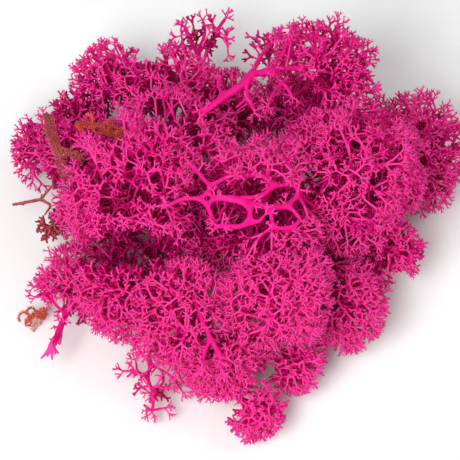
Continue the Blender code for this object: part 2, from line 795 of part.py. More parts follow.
def stem_mesh(stem, rng):
    """A leafy strand or knotted twig, from its cut end to its point or its arms."""
    route = smooth_route(stem.route, STEM_STEP)
    along = route[1] - route[0]
    turn = along.to_track_quat("Z", "Y").to_matrix().to_4x4()
    bm = bmesh.new()
    bmesh.ops.create_cone(
        bm,
        cap_ends=True,
        segments=STEM_SIDES,
        radius1=stem.radii[0] * SECTION * CUT_TAPER,
        radius2=stem.radii[0] * SECTION,
        depth=along.length / 2,
        matrix=Matrix.Translation(route[0] + along / 4) @ turn,
    )
    top = max(bm.faces, key=lambda face: (face.calc_center_median() - route[0]).dot(along))
    end = draw_stem(bm, top, route, stem.radii, stem.leaf, rng)
    heading = (route[-1] - route[-2]).normalized()
    parts = raise_point(bm, end, route[-1] + heading * stem.radii[1] * SECTION)
    for arm in stem.arms:
        part = max(parts, key=lambda part: (part.calc_center_median() - arm[0]).dot(arm[1] - arm[0]))
        parts.remove(part)
        arm_route = smooth_route(arm, STEM_STEP)
        radii = [radius * taper for radius, taper in zip(reversed(stem.radii), ARM_TAPERS)]
        tip = draw_stem(bm, part, arm_route, radii, stem.leaf, rng)
        raise_point(bm, tip, arm_route[-1] * 2 - arm_route[-2])
    bmesh.ops.triangulate(bm, faces=bm.faces)
    return bm


def build_stem(stem, finished, collection):
    """A moss strand or twig, drawn again with other leaves until none of them cross."""
    rng = random.Random(stem.name)
    bm = stem_mesh(stem, rng)
    while crossing_faces(bm):
        bm.free()
        bm = stem_mesh(stem, rng)
    finished.append(BVHTree.FromBMesh(bm))
    material = finish(f"surface of {stem.name}", stem.colour, DRY_ROUGHNESS)
    add_object(stem.name, bm, stem.route[0], collection, material)


def clean_mesh(tuft, trunk, finished):
    """(mesh, worth of its touches) of a tuft, with the branches left out that would cross others."""
    while True:
        bm, limbs = skin_of(tuft, trunk)
        crossing = crossing_limbs(bm, limbs, finished)
        if not crossing:
            return bm, sum(limb.worth for limb in limbs)
        for limb in crossing:
            limb.dropped = True
            limb.spikes = []
        bm.free()


def build_tuft(tuft, finished, collection):
    """One tuft, grown again until each spike reaches what it should touch."""
    best, most = None, -1
    wanted = TOUCH_WORTH * len(tuft.touches) + SEAT_WORTH * len(tuft.seats)
    wanted += LIMB_WORTH * len(LIMB_TABLE.get(tuft.name, ()))
    for season in range(SEASONS):
        bm, worth = clean_mesh(tuft, grow_tuft(tuft, season), finished)
        if worth > most:
            best, most = bm, worth
        if most == wanted:
            break
    finished.append(BVHTree.FromBMesh(best))
    add_object(tuft.name, best, tuft.base, collection, lichen_material(tuft))


def add_object(name, bm, start, collection, material):
    """An object with its origin where its trunk or stem starts."""
    bmesh.ops.translate(bm, vec=-start, verts=bm.verts)
    bmesh.ops.scale(bm, vec=(MM, MM, MM), verts=bm.verts)
    mesh = bpy.data.meshes.new(name)
    bm.to_mesh(mesh)
    bm.free()
    mesh.materials.append(material)
    part = bpy.data.objects.new(name, mesh)
    part.location = (start - CENTRE_OF_CLUMP) * MM
    collection.objects.link(part)


def finish(name, colour, roughness):
    """A plain natural surface of one colour."""
    material = bpy.data.materials.new(name)
    material.use_nodes = True
    shader = material.node_tree.nodes["Principled BSDF"]
    shader.inputs["Base Color"].default_value = (*colour, 1)
    shader.inputs["Roughness"].default_value = roughness
    shader.inputs["Metallic"].default_value = 0.0
    return material


def lichen_material(tuft):
    """Dyed pink, deeper in the low tufts, or brown for the scrap that took no dye."""
    if tuft.name == "brown_lichen_scrap":
        return finish("brown lichen", SCRAP_BROWN, DRY_ROUGHNESS)
    height = min(1.0, tuft.crown.z / HIGHEST_CROWN)
    colour = [low + (high - low) * height for low, high in zip(DEEP_PINK, BRIGHT_PINK)]
    return finish(f"dyed lichen of {tuft.name}", colour, LICHEN_ROUGHNESS)


def main():
    """Clears the scene and builds the moss and twigs, then the tufts that grow round them."""
    for old in list(bpy.data.objects):
        bpy.data.objects.remove(old)
    collection = bpy.data.collections.new(CLUMP)
    bpy.context.scene.collection.children.link(collection)
    join_neighbours()
    for tuft in TUFTS:
        stand_on_surface(tuft)
    for stem in STEMS:
        seat_stem(stem)
    finished = []
    for stem in STEMS:
        build_stem(stem, finished, collection)
    for tuft in TUFTS:
        build_tuft(tuft, finished, collection)


main()
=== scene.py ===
import math
import random
from collections import Counter

import bpy
import numpy as np
from bpy.props import FloatProperty, FloatVectorProperty, IntProperty, PointerProperty
from bpy.types import Operator, Panel, PropertyGroup
from mathutils import Matrix, Vector, noise
from mathutils.kdtree import KDTree


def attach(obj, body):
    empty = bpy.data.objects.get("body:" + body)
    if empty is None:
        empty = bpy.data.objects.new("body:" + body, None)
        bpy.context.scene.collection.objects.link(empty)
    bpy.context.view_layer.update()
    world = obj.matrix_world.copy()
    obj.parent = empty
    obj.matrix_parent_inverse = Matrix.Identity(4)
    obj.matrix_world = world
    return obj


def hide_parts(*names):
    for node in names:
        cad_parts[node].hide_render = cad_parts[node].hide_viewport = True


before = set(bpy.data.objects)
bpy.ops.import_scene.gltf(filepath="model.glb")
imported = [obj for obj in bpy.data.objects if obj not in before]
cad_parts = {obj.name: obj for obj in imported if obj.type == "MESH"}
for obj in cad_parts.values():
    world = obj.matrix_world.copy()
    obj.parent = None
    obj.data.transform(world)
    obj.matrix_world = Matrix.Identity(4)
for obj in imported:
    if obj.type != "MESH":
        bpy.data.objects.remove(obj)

bl_info = {
    "name": "Reindeer moss clump",
    "version": (1, 0, 0),
    "blender": (4, 5, 0),
    "location": "3D View > Sidebar > Reindeer moss",
    "description": "Grows dyed lichen, moss and twigs over the plain solids of a clump, and lights it",
    "category": "Object",
}

# Until a mesh is finished, places are in millimetres from the point under the middle of the picture
MM = 0.001
CENTRE_OF_CLUMP = Vector((1.6, 2.5, 0.0))
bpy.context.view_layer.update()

# The camera looks down by this angle, at a point this high over the surface
VIEW_TILT = math.radians(60)
VIEW_HEIGHT = 15.0

# name: base of the trunk, middle of the crown, reach of the crown, how open its crown is.
# The scrap that took no dye comes last.
TUFT_TABLE = {
    "tuft_back_sprig": ((-5, 31, 9), (-5.6, 42, 19), 7.6, 2.2),
    "tuft_back_spur": ((8.5, 35.5, 6), (9.4, 44.6, 11), 7, 1.7),
    "tuft_top_right": ((-5, 16.5, 34), (17.6, 27.3, 28), 13.1, 1.15),
    "tuft_right_back": ((29, 16.5, 9), (36.8, 20.3, 11), 13, 1.05),
    "tuft_right_crown": ((14.5, 5, 14), (23.5, 6.5, 25), 15.5, 0.93),
    "tuft_centre_crown": ((-6.5, -6.5, 29), (5, -3, 26.5), 15.5, 1),
    "tuft_right_low": ((25, 2, 7), (31.2, -1.8, 10), 8.2, 1.05),
    "tuft_right_front": ((14.5, -10.5, 14), (22.4, -14.6, 11), 9.9, 1),
    "tuft_front_right": ((10.5, -18.5, 10), (12.6, -26, 8), 7, 0.95),
    "tuft_front_lobe": ((-1.5, -31, 8), (5.1, -36.4, 7), 6.6, 0.88),
    "tuft_front_centre": ((-7, -19.5, 24), (-1.5, -27.6, 14), 10, 0.9),
    "tuft_centre_front": ((7.5, -11.5, 12), (8.5, -18.5, 22), 12.5, 0.95),
    "tuft_front_sprig": ((-9.5, -21, 6), (-15, -29.2, 5), 7.9, 2.6),
    "tuft_front_left": ((-5, -13.5, 12), (-8.5, -20.5, 17), 12.5, 1),
    "tuft_left_low": ((-34, -20.5, 5), (-29.8, -10.6, 8), 10.5, 1.1),
    "tuft_left_front": ((-15.5, -7.5, 8), (-20.5, -13, 15), 11.5, 1),
    "tuft_left_crown": ((-13.5, 0, 15), (-19.5, 2, 27), 15.5, 1),
    "tuft_left_back": ((-8.5, 7.5, 13), (-11.5, 14, 24), 12.5, 1.05),
    "tuft_left_edge": ((-32, 17.5, 8), (-36.6, 22.4, 8), 9.2, 1.1),
    "tuft_left_upper": ((-22.5, 10.5, 10), (-28, 15, 15), 11, 1.05),
    "tuft_upper_left": ((-18.5, 27, 9), (-23.7, 35.6, 13), 9.6, 1.1),
    "tuft_upper_edge": ((-28, 26.5, 8), (-30.8, 29.3, 8), 8, 1.15),
    "tuft_back_left": ((-11.5, 23, 10), (-13.3, 30.7, 17), 11.3, 1.1),
    "tuft_back_centre": ((0, 20.5, 6), (-1.4, 28.2, 11.5), 11.7, 1.05),
    "tuft_back_right": ((13.5, 21, 6), (14.5, 30, 10), 10.5, 1.05),
    "tuft_under_centre": ((0, 3, 0), (0, 4, 11), 14, 1.02),
    "tuft_under_right": ((16.5, -1, 0), (17.5, -2, 9), 13.5, 1.02),
    "tuft_under_left": ((-15.5, 1, 0), (-17.4, 0.6, 8.5), 15.6, 1.06),
    "brown_lichen_scrap": ((-33, 1, 9), (-34.8, 4.4, 10.5), 4.8, 0.66),
}

# Limbs that show from above, as (right, up) in the picture plane from its middle.
# name: height over the surface, then the radius and the route of each limb
LIMB_TABLE = {
    "tuft_centre_crown": (
        37.8,
        (0.36, (-3.1, 6.1), (-4.2, 7.4), (-5.7, 6), (-4.4, 4.7), (-3.1, 6.1)),
        (0.46, (-5.7, 6), (-9.1, 6), (-12, 4.6)),
        (0.46, (-4.2, 7.4), (-3.8, 8.4), (-1, 10), (1, 10.8)),
        (0.42, (-3.8, 8.4), (-6.2, 11.2), (-7.6, 12.8)),
        (0.8, (-3.1, 6.1), (0.2, 6.1), (3.8, 5.3)),
        (0.56, (0.2, 6.1), (4.4, 6.2), (7, 7.2), (8.2, 8.8), (7.2, 10.2), (4.6, 10.7), (1.6, 10.2)),
        (0.56, (3.8, 5.3), (3.9, 3.2), (3.4, 1.2), (1.1, 0.6), (-2, 0.8)),
        (0.4, (3.4, 1.2), (5.6, 1.6), (6.6, 2.8)),
        (0.48, (-4.4, 4.7), (-3.4, 2.4), (-2.6, 0.6), (-2, 0.8)),
        (0.56, (3.8, 5.3), (7.6, 4.4), (11, 4.6), (12.4, 6), (13.4, 7.8), (12.2, 9.2)),
        (0.46, (12.2, 9.2), (9.9, 8.6), (8.2, 8.8)),
        (0.42, (7.6, 4.4), (8, 2.4), (8, 0.6), (11.4, 0.4), (13.6, 2), (12.4, 3.6), (11, 4.6)),
        (0.44, (12.2, 9.2), (12, 11.8), (10.8, 14.8), (12.2, 17.4)),
        (0.44, (-5.2, 12), (-1.8, 14.7), (0.2, 16.2), (3.4, 16.4), (7.2, 15.8)),
    ),
    "tuft_back_sprig": (
        20,
        (0.5, (-6.6, 28.6), (-6, 33), (-6.8, 36.6), (-8.4, 39.6), (-9.2, 41.8)),
        (0.42, (-6, 33), (-4, 38.6), (-2.2, 42), (-1, 43.8)),
        (0.36, (-6.8, 36.6), (-5.2, 40.4), (-5.6, 43.4)),
        (0.32, (-6, 33), (-9, 34.2), (-10.8, 36.4)),
    ),
    "tuft_top_right": (
        33,
        (0.92, (-5, 23.6), (-1, 26.4), (2, 28.6), (4.2, 30.8), (8.4, 32)),
        (0.66, (8.4, 32), (14, 32.8), (19, 33.2), (24, 34)),
        (0.4, (3, 29.6), (3.6, 26.4), (4.8, 23.6)),
        (0.42, (8.4, 32), (10.6, 29.6), (12.2, 27)),
        (0.3, (3.6, 26.4), (1.2, 24.2)),
        (0.46, (4.2, 30.8), (6, 34.6), (8.4, 37.6)),
        (0.42, (8.4, 32), (10.6, 35.4), (13.6, 38.4)),
        (0.44, (14, 32.8), (17, 30.2), (21.4, 29.4), (25.4, 30.2)),
        (0.4, (19, 33.2), (21, 36.2), (24, 37.6)),
        (0.36, (21.4, 29.4), (24.6, 31.6), (24, 34)),
        (0.34, (10.6, 35.4), (14.4, 35.8), (16.8, 34.6), (19, 33.2)),
        (0.32, (10.6, 29.6), (8.6, 27.2), (7.6, 24.8)),
        (0.32, (-5, 23.6), (-7.6, 23.2)),
        (0.32, (-5, 23.6), (-6.4, 21.2)),
        (0.34, (-1, 26.4), (-2.4, 28.6), (-2, 30.6)),
    ),
    "tuft_front_centre": (
        24.5,
        (0.46, (-7, -13), (-5.4, -17.4), (-3.6, -21), (-1.8, -24.2)),
        (0.34, (-3.6, -21), (-5, -23.6), (-5.2, -26)),
        (0.32, (-1.8, -24.2), (0.4, -25.2)),
        (0.32, (-1.8, -24.2), (-1.6, -26.8)),
    ),
    "tuft_centre_front": (
        27,
        (0.55, (6, -7), (9.4, -10.6), (12.6, -14.6)),
        (0.42, (9.4, -10.6), (8, -14), (7.6, -17.6)),
    ),
    "tuft_front_sprig": (
        6,
        (0.36, (-19.4, -21.4), (-17.6, -24.6), (-15.8, -26.8), (-16.4, -29.4), (-15.2, -32), (-15.3, -35.6)),
        (0.28, (-16.4, -29.4), (-18.4, -28), (-20.8, -28)),
        (0.24, (-18.4, -28), (-18.7, -26.2)),
        (0.28, (-15.8, -26.8), (-13.6, -27.8), (-13.2, -30.2), (-15.2, -32)),
        (0.24, (-15.2, -32), (-12.6, -31.2)),
        (0.24, (-15.3, -35.6), (-13.2, -35.2)),
        (0.34, (-19.4, -21.4), (-15.8, -22.8), (-12.6, -24.6), (-8.6, -26)),
        (0.3, (-12.6, -24.6), (-10.8, -27.4), (-9.2, -30.4), (-7.2, -31.6)),
        (0.26, (-13.6, -27.8), (-11.4, -29.2), (-9.6, -31.8)),
        (0.26, (-15.8, -26.8), (-15.8, -22.8)),
    ),
    "tuft_left_low": (
        9,
        (0.9, (-35.2, -23), (-34.5, -21.2), (-33.7, -19.2)),
        (0.6, (-33.7, -19.2), (-32.6, -16.8), (-30.4, -13.2)),
        (0.36, (-32.6, -16.8), (-35.4, -14.4), (-37.2, -11.4)),
    ),
}
# Fall of a bare limb, for each square millimetre from where the first one starts
LIMB_FALL = 0.010

# The split foot of a stem, in the picture plane. name: height, where it splits, then its claws' tips
SPLIT_FEET = {
    "tuft_left_low": (8.6, (-35.3, -22.8), (-37.4, -25.4), (-36.2, -25), (-35.2, -25.6), (-34, -24.4)),
}

# Hollows between the crowns and notches at their edge: middle and half widths in the picture plane,
# then the height over which no head grows there
HOLLOWS = (
    ((3.4, 5.2), (13.2, 6.4), 27),
    ((-1, 26.4), (6, 4.4), 27),
    ((-20.5, -4.4), (10.5, 4.4), 11.5),
    ((-12, 24), (7, 3), 20),
    ((7, -28), (2.6, 2.4), 0),
    ((-5.8, -16.2), (1.7, 2.8), 20.5),
    ((-3.6, -21), (1.6, 2.8), 19.5),
    ((-2, 37.2), (3.4, 3), 0),
    ((5, 36), (2, 3.4), 0),
    ((-11, -34.6), (3.6, 3.4), 0),
    ((-39.6, 10.8), (2.6, 2.4), 0),
    ((-16.6, 36.2), (3.4, 2.6), 0),
    ((30.2, 30.4), (1.8, 2.2), 0),
    ((33.4, -10), (3.4, 2), 0),
)

# Routes of the stems of the feather moss strand and the orange moss
STRAND_ROUTES = (
    ((-37.4, 25.5, 18.3), (-36.4, 20.5, 20.5), (-35, 15.5, 22), (-33, 9, 20.8)),
    ((-34.4, 13, 21.8), (-31.8, 13.4, 22.8), (-29.6, 11.8, 23)),
)
ORANGE_MOSS_ROUTES = {
    "orange_moss_sprig": (
        (-30.5, 20.8, 22.5),
        (-28.5, 19.3, 23.8),
        (-26, 18.6, 24.2),
        (-23.6, 16.6, 24.8),
        (-21.2, 17.4, 25.2),
    ),
    "twig_moss_cuff": ((-41.2, -14.4, 2.7), (-40.2, -13.8, 3.4), (-38.8, -13, 4.1), (-37.3, -12.3, 4.5)),
}

# name: slot, radius at the start and at the end, then the routes of the twig and of its arms
TWIG_TABLE = {
    "forked_twig": (
        "red_bark",
        (0.28, 0.36),
        ((-44.2, 9.4, 9), (-41.5, 9.6, 9.6), (-38.6, 10, 10)),
        ((-38.6, 10, 10), (-37.2, 11.4, 10.6), (-35.8, 13.2, 11)),
        ((-38.6, 10, 10), (-36.5, 8.6, 10.2), (-37.4, 6.4, 10.3)),
    ),
    "green_twig": ("green_bark", (0.6, 0.3), ((3.6, 34.6, 16), (5.6, 38, 17.6), (7.4, 41.2, 19))),
    "mossy_twig": ("grey_bark", (0.5, 0.4), ((-40, -15.2, 0.6), (-38, -12.6, 2), (-36.2, -10.2, 2.6))),
}

# Where the heads of a crown stand, in millimetres or as shares of their spacing or its reach
PACKING = 0.87
NEAREST_HEADS = 0.7
HEAD_ROOM = 0.9
FLOOR_ROOM = 0.2
LEAST_SHELL = 1.5
SHELL_INSET = 0.9
# (share of the reach, share of the spacing) of the shells inside the outer one
INNER_SHELLS = ((0.66, 1.3), (0.36, 1.2))
INNER_DEPTH = 2.5
MOST_TURN_BACK = math.radians(120)
LUMP_DEPTH = 0.22
LUMP_SIZE = 4.5
PIT_SIZE = 4.0
PIT_LEVEL = 0.18
PIT_FLOOR = 0.55
HOLLOW_AHEAD = 2
HOLLOW_PULL = 0.8
HOLLOW_RIM = 0.6
DEBRIS_STEP = 1.0
DEBRIS_ROOM = 2.1
LEAST_FINE = 0.52
FULL_SIZE_REACH = 25.0
HALVINGS = 8

# How a limb grows: millimetres, shares of its length, and shares of its radius along it
HEAD_STEM = 0.22
THICKENING = 0.27
STEP_SHARE = 0.38
SHORTEST_STEP = 1.3
NEAR_STEPS = (0.3, 0.8)
WOBBLE = 0.14
KEEP_COURSE = 0.25
STEM_COURSE = 0.4
KNEE = 0.45
THREE_WAY = 0.6
GROUPING_ROUNDS = 4
SKINNED_FROM = 3
SKIN_TAPER = 0.96
STEM_TAPER = (1.35, 1.0, 0.95)
LIMB_TAPER = (1.3, 1.0, 0.95)
ROOT_WIDENING = 1.2
WEB = 1.5
WEBBED_FROM = 0.35
BRANCH_SMOOTHING = 0.7

# Limbs that leave the bare ones
BARE_STEP = 1.6
SAME_SPOT = 0.3
TRUNK_RADIUS = 0.35
CARRIER_GAP = 3.4
SPRIG_REACH = 9.0
HEART_LIMB = 0.5
HEART_PULL = 0.72
GROUP_HEADS = 5
MOST_GROUPS = 5
SPRIG_SHOOTS = 0.3
SHOOT_POINTS = 60
SHOOT_RISE = 0.4
SHOOT_LENGTHS = (1.0, 2.0)
SHOOT_RADII = (0.26, 0.2, 0.18)
SHOOT_HEAD = 0.8
END_HEAD = 1.2
CLAW_DROP = 0.8
CLAW_COURSE = 0.4
CLAW_POINT = 0.2
CLAW_RADII = (0.74, 0.5, 0.34, 0.2, 0)

# (share of its height, angle in degrees, thickness of the arms) of the forks in a head, outermost last
HEAD_FORKS = ((0.46, 38, 0.18), (0.32, 40, 0.155), (0.22, 40, 0.15))
HEAD_HEIGHTS = (0.75, 1.35)
ARM_ANGLES = (0.7, 1.25)
ARM_LENGTHS = (0.75, 1.25)
ARM_TAPER = (1.25, 1.0, 0.9)
TURN_OUT = 0.2
FULLNESS = 0.78
INNER_BELOW = 0.72
INNER_HEIGHT = 1.4
INNER_STOUTNESS = 1.5
INNER_FULLNESS = 0.25

# Tones of painted light and shade, from 0 for dye in painted shade far inside the clump
# to 1 for tips in painted full light
# Painted shade on the first forks of a head and painted light on its tips, by fork
HEAD_PAINTED_SHADING = (-0.1, 0.0, 0.12)
# Painted shade: the tone of a head rises from these with its distance from the middle of its crown
TONE_START = -0.9
TONE_RISE = 1.6
TONE_SPREAD = 0.5
# Painted light that lightens the tufts nearer the front
FRONT_FROM = 5.0
FRONT_DEPTH = 40.0
FRONT_PAINTED_LIGHT = 0.54
BARE_TONE = 0.42
# Painted light and shade: lit, plain and shaded copies of the scrap's brown
SCRAP_LIT_AND_SHADED = (1.4, 1.1, 0.65)
SHOOT_TONES = (0.8, 0.9)
END_TONE = 0.8
CLAW_TONE = 0.9
LIMB_TONE = 0.6
# Painted shade on the limbs: tone taken off for each millimetre inside the clump, down to the darkest
PAINTED_DEPTH_SHADE = 0.06
DARKEST_LIMB = 0.05

# Moss: (radius of the stem, length and width of its leaves), then millimetres and shares
STRAND_STEM = (0.3, 0.75, 0.42)
STRAND_BRANCH = (0.14, 0.5, 0.28)
SPRIG_STEM = (0.3, 0.8, 0.45)
SPRIG_CURL = (0.13, 0.5, 0.3)
LEAF_WIDEST = 0.4
LEAF_FOLD = 0.25
LEAF_FOOT = 0.7
LEAF_SIZES = (0.75, 1.2)
LEAF_LEANS = (0.7, 1.3)
LEAST_LEAF = 0.5
LEAF_TAPER = 3
LEAF_TONES = (0.2, 0.9)
SPINE_STEP = 0.5
SPINE_TONE = 0.2
FACING_UP = Vector((0, -0.5, 0.87))
BRANCH_LENGTHS = (0.8, 1.8)
BRANCH_LIFTS = (-0.2, 0.5)
BRANCH_LEAN = 0.8
CURL_STEP = 1.1
CURL_POINTS = 7
CURL_TURN = 0.7
CURL_WIDTHS = (0.6, 1.1)
CURL_START = 0.2
CURL_RISE = 0.12

# Twigs, in millimetres and shares
TWIG_ARM_RADII = (0.34, 0.18)
TWIG_STEP = 0.3
TWIG_SWELLING = (0.85, 1.2)
BUD_EVERY = 4
BUD_LENGTH = 0.6
BUD_LEAN = 0.6
BUD_MIDDLE = 1.2
BUD_RADII = (0.8, 0.7, 0)
BARK_TONE = 0.5

# Sizes of the patterns in the materials
LICHEN_PATCH = 3.5
FELT_GRAIN = 0.3
MOSS_PATCH = 2.0
BOARD_FIBRES = 4.0

# The studio, in metres and watts. name: place, size and power of each light
LIGHT_TABLE = {"key": ((-0.16, -0.27, 0.40), 0.26, 2.4), "fill": ((0.55, 0.1, 0.6), 0.5, 1.6)}
SKY_COLOUR = (1.0, 0.985, 0.99, 1)
SKY_STRENGTH = 0.44
FLOOR_SIZE = 3.0
SENSOR_WIDTH = 36

# The turn from one leaf or head to the next in a natural spiral
GOLDEN_ANGLE = math.pi * (3 - math.sqrt(5))
# Keeps a division by a length from being by 0
TINY = 1e-12


def linear(hex_colour):
    """An sRGB hex colour as linear red, green and blue."""
    shares = [int(hex_colour[k : k + 2], 16) / 255 for k in (1, 3, 5)]
    return [s / 12.92 if s <= 0.04045 else ((s + 0.055) / 1.055) ** 2.4 for s in shares]


def colour(text, default):
    """A colour that a user can change."""
    about = f"Colour of the {text.lower()}"
    return FloatVectorProperty(
        name=text, description=about, subtype="COLOR", default=linear(default), min=0, max=1
    )


def millimetres(text, about, default, least):
    """A small length that a user can change."""
    return FloatProperty(name=text, description=f"{about}, in mm", default=default, min=least)


class LichenSettings(PropertyGroup):
    head_spacing: millimetres("Head spacing", "Distance between two heads of a crown", 2.3, 1.5)
    head_height: millimetres("Head height", "How far a head of tips stands up from its stem", 2.4, 1)
    side_shoots: IntProperty(
        name="Side shoots", description="Short shoots on 60 points of bare limb", default=40, min=0
    )
    # The dye with painted light, plain, and with painted shade inside the clump
    lit_pink: colour("Lit dye", "#F83E9E")
    mid_pink: colour("Dye", "#EC1289")
    shaded_pink: colour("Dye in painted shade", "#A40655")
    brown: colour("Undyed scrap", "#C4505E")


class MossSettings(PropertyGroup):
    leaf_gap: millimetres("Leaf gap", "Distance between two leaves along a stem", 0.06, 0.02)
    feather_brown: colour("Feather moss", "#CC6C60")
    feather_red: colour("Dyed feather moss", "#C44C5C")
    orange: colour("Orange moss", "#D04838")
    orange_tip: colour("Orange moss tips", "#E4684A")


class TwigSettings(PropertyGroup):
    bark_grain: millimetres("Bark grain", "Distance between two ridges of bark", 0.35, 0.1)
    red_bark: colour("Reddish bark", "#A24A50")
    green_bark: colour("Greenish bark", "#7A6440")
    grey_bark: colour("Greyish bark", "#D0968C")


class StageSettings(PropertyGroup):
    camera_distance: FloatProperty(
        name="Camera distance", description="From the camera to the clump", default=0.6, unit="LENGTH"
    )
    frame_width: FloatProperty(
        name="Frame width", description="Width of the view at the clump", default=0.092, unit="LENGTH"
    )
    floor: colour("Floor", "#F0F3F2")


# Helpers


def select_only(piece):
    bpy.ops.object.select_all(action="DESELECT")
    piece.select_set(True)
    bpy.context.view_layer.objects.active = piece


def add_node(tree, kind, settings, links=()):
    """Adds a node with its settings and socket values, and joins other sockets to its inputs."""
    node = tree.nodes.new(kind)
    for name, value in settings.items():
        if isinstance(name, int) or name in node.inputs:
            node.inputs[name].default_value = value
        else:
            setattr(node, name, value)
    for name, source in dict(links).items():
        tree.links.new(source, node.inputs[name])
    return node


def mottled_material(name, finish, pattern, stops, weight=None, relief=None):
    """A material coloured by a noise pattern, with its stops as (level, colour) pairs.

    With a weight, the pattern lies as soft patches over the tone of each part. Relief is the pattern of
    its bumps, and how far they stand out.
    """
    material = bpy.data.materials.new(name)
    material.use_nodes = True
    tree = material.node_tree
    shader = tree.nodes["Principled BSDF"]
    for socket, value in finish.items():
        shader.inputs[socket].default_value = value
    place = add_node(tree, "ShaderNodeTexCoord", {}).outputs["Object"]
    share = add_node(tree, "ShaderNodeTexNoise", pattern, {"Vector": place}).outputs["Fac"]
    if weight:
        tone = add_node(tree, "ShaderNodeAttribute", {"attribute_name": "tone"})
        sources = {0: share, 2: tone.outputs["Fac"]}
        mixed = add_node(tree, "ShaderNodeMath", {"operation": "MULTIPLY_ADD", 1: weight}, sources)
        share = mixed.outputs[0]
    shades = add_node(tree, "ShaderNodeValToRGB", {}, {"Fac": share})
    ramp = shades.color_ramp.elements
    while len(ramp) < len(stops):
        ramp.new(0.5)
    for element, (level, shade) in zip(ramp, stops):
        element.position = level
        element.color = (*shade, 1)
    tree.links.new(shades.outputs["Color"], shader.inputs["Base Color"])
    if relief:
        grain, depth = relief
        bumps = add_node(tree, "ShaderNodeTexNoise", grain, {"Vector": place})
        bump = add_node(tree, "ShaderNodeBump", depth, {"Height": bumps.outputs["Fac"]})
        tree.links.new(bump.outputs["Normal"], shader.inputs["Normal"])
    return material


def in_view(right, up, height):
    """The point at that height that is seen at that place in the picture plane."""
    y = (up - (height - VIEW_HEIGHT) * math.cos(VIEW_TILT)) / math.sin(VIEW_TILT)
    return Vector((right, y, height))


def seen_at(point):
    """(right, up) in the picture plane of a point."""
    above = point.z - VIEW_HEIGHT
    return point.x, point.y * math.sin(VIEW_TILT) + above * math.cos(VIEW_TILT)


def nearness(point):
    """How near a point is to the camera, counted from the origin."""
    return point.z * math.sin(VIEW_TILT) - point.y * math.cos(VIEW_TILT)


def mean_of(points):
    return sum(points, Vector()) / len(points)


def round_about(axis, turn):
    """The direction square to an axis, at that turn about it."""
    return Matrix.Rotation(turn, 3, axis) @ axis.orthogonal().normalized()


def curve_through(points, step):
    """Points about that far apart on a smooth curve through the given ones."""
    points = [Vector(point) for point in points]
    ends = [points[0] * 2 - points[1], *points, points[-1] * 2 - points[-2]]
    route = []
    for a, b, c, d in zip(ends, ends[1:], ends[2:], ends[3:]):
        count = max(1, round((c - b).length / step))
        for k in range(count):
            t = k / count
            curve = b * 2 + (c - a) * t + (a * 2 - b * 5 + c * 4 - d) * t**2
            route.append((curve + (b * 3 - a - c * 3 + d) * t**3) / 2)
    return [*route, points[-1]]


# Meshes of many small shapes


def new_piece(name, verts, lines, faces):
    """A new object of those corners, lines and faces, in millimetres."""
    mesh = bpy.data.meshes.new(name)
    mesh.from_pydata(verts, lines, faces)
    piece = bpy.data.objects.new(name, mesh)
    bpy.context.scene.collection.objects.link(piece)
    return piece


class Bundle:
    """Many thin tubes and leaves that become one mesh."""

    def __init__(self):
        self.tubes = {}
        self.verts = []
        self.tones = []
        self.faces = []
        self.total = 0

    def add_tube(self, points, radii, sides, tone):
        """An open tube, or one that comes to a point where its last radius is 0."""
        pointed = radii[-1] == 0
        self.tubes.setdefault((len(points), sides, pointed), []).append((points, radii, tone))

    def add_shape(self, verts, faces, tones):
        """Faces are triangles, numbered from the first of these corners."""
        self.verts.append(np.array(verts, dtype=float).reshape(-1, 3))
        self.tones.append(np.array(tones, dtype=float).reshape(-1))
        self.faces.append(np.array(faces, dtype=int).reshape(-1, 3) + self.total)
        self.total += len(self.verts[-1])

    def close_tubes(self):
        """Turns the tubes into rings of corners, all those with as many rings at once."""
        for (rings, sides, pointed), tubes in sorted(self.tubes.items()):
            points = np.array([[tuple(point) for point in tube[0]] for tube in tubes])
            radii = np.array([tube[1] for tube in tubes])
            along = np.gradient(points, axis=1)
            along /= np.linalg.norm(along, axis=2, keepdims=True) + TINY
            least = np.eye(3)[np.abs(along[:, 0]).argmin(axis=1)]
            spoke = np.cross(along, least[:, None, :])
            spoke /= np.linalg.norm(spoke, axis=2, keepdims=True) + TINY
            other = np.cross(along, spoke)
            turn = np.arange(sides) * math.tau / sides
            ring = spoke[:, :, None] * np.cos(turn)[:, None] + other[:, :, None] * np.sin(turn)[:, None]
            verts = (points[:, :, None] + radii[:, :, None, None] * ring).reshape(len(tubes), -1, 3)
            full = rings - 1 if pointed else rings
            corners = full * sides + pointed
            steps = [(r * sides, s) for r in range(full - 1) for s in range(sides)]
            lower = [(row + s, row + (s + 1) % sides) for row, s in steps]
            wall = [(a, b, b + sides) for a, b in lower] + [(a, b + sides, a + sides) for a, b in lower]
            if pointed:
                last = (full - 1) * sides
                wall += [(last + s, last + (s + 1) % sides, corners - 1) for s in range(sides)]
            first = np.arange(len(tubes))[:, None, None] * corners
            faces = (first + np.array(wall)[None]).reshape(-1, 3)
            self.add_shape(verts[:, :corners], faces, np.repeat([tube[2] for tube in tubes], corners))
        self.tubes = {}

    def finish(self, name):
        """A new object of all its tubes and shapes."""
        self.close_tubes()
        verts = np.concatenate(self.verts).tolist()
        piece = new_piece(name, verts, [], np.concatenate(self.faces).tolist())
        set_tone(piece.data, np.concatenate(self.tones))
        return piece


def set_tone(mesh, tones):
    """How lit and light each corner's natural colour is, from 0 to 1."""
    layer = mesh.attributes.new("tone", "FLOAT", "POINT")
    layer.data.foreach_set("value", np.asarray(tones, dtype=np.float32))


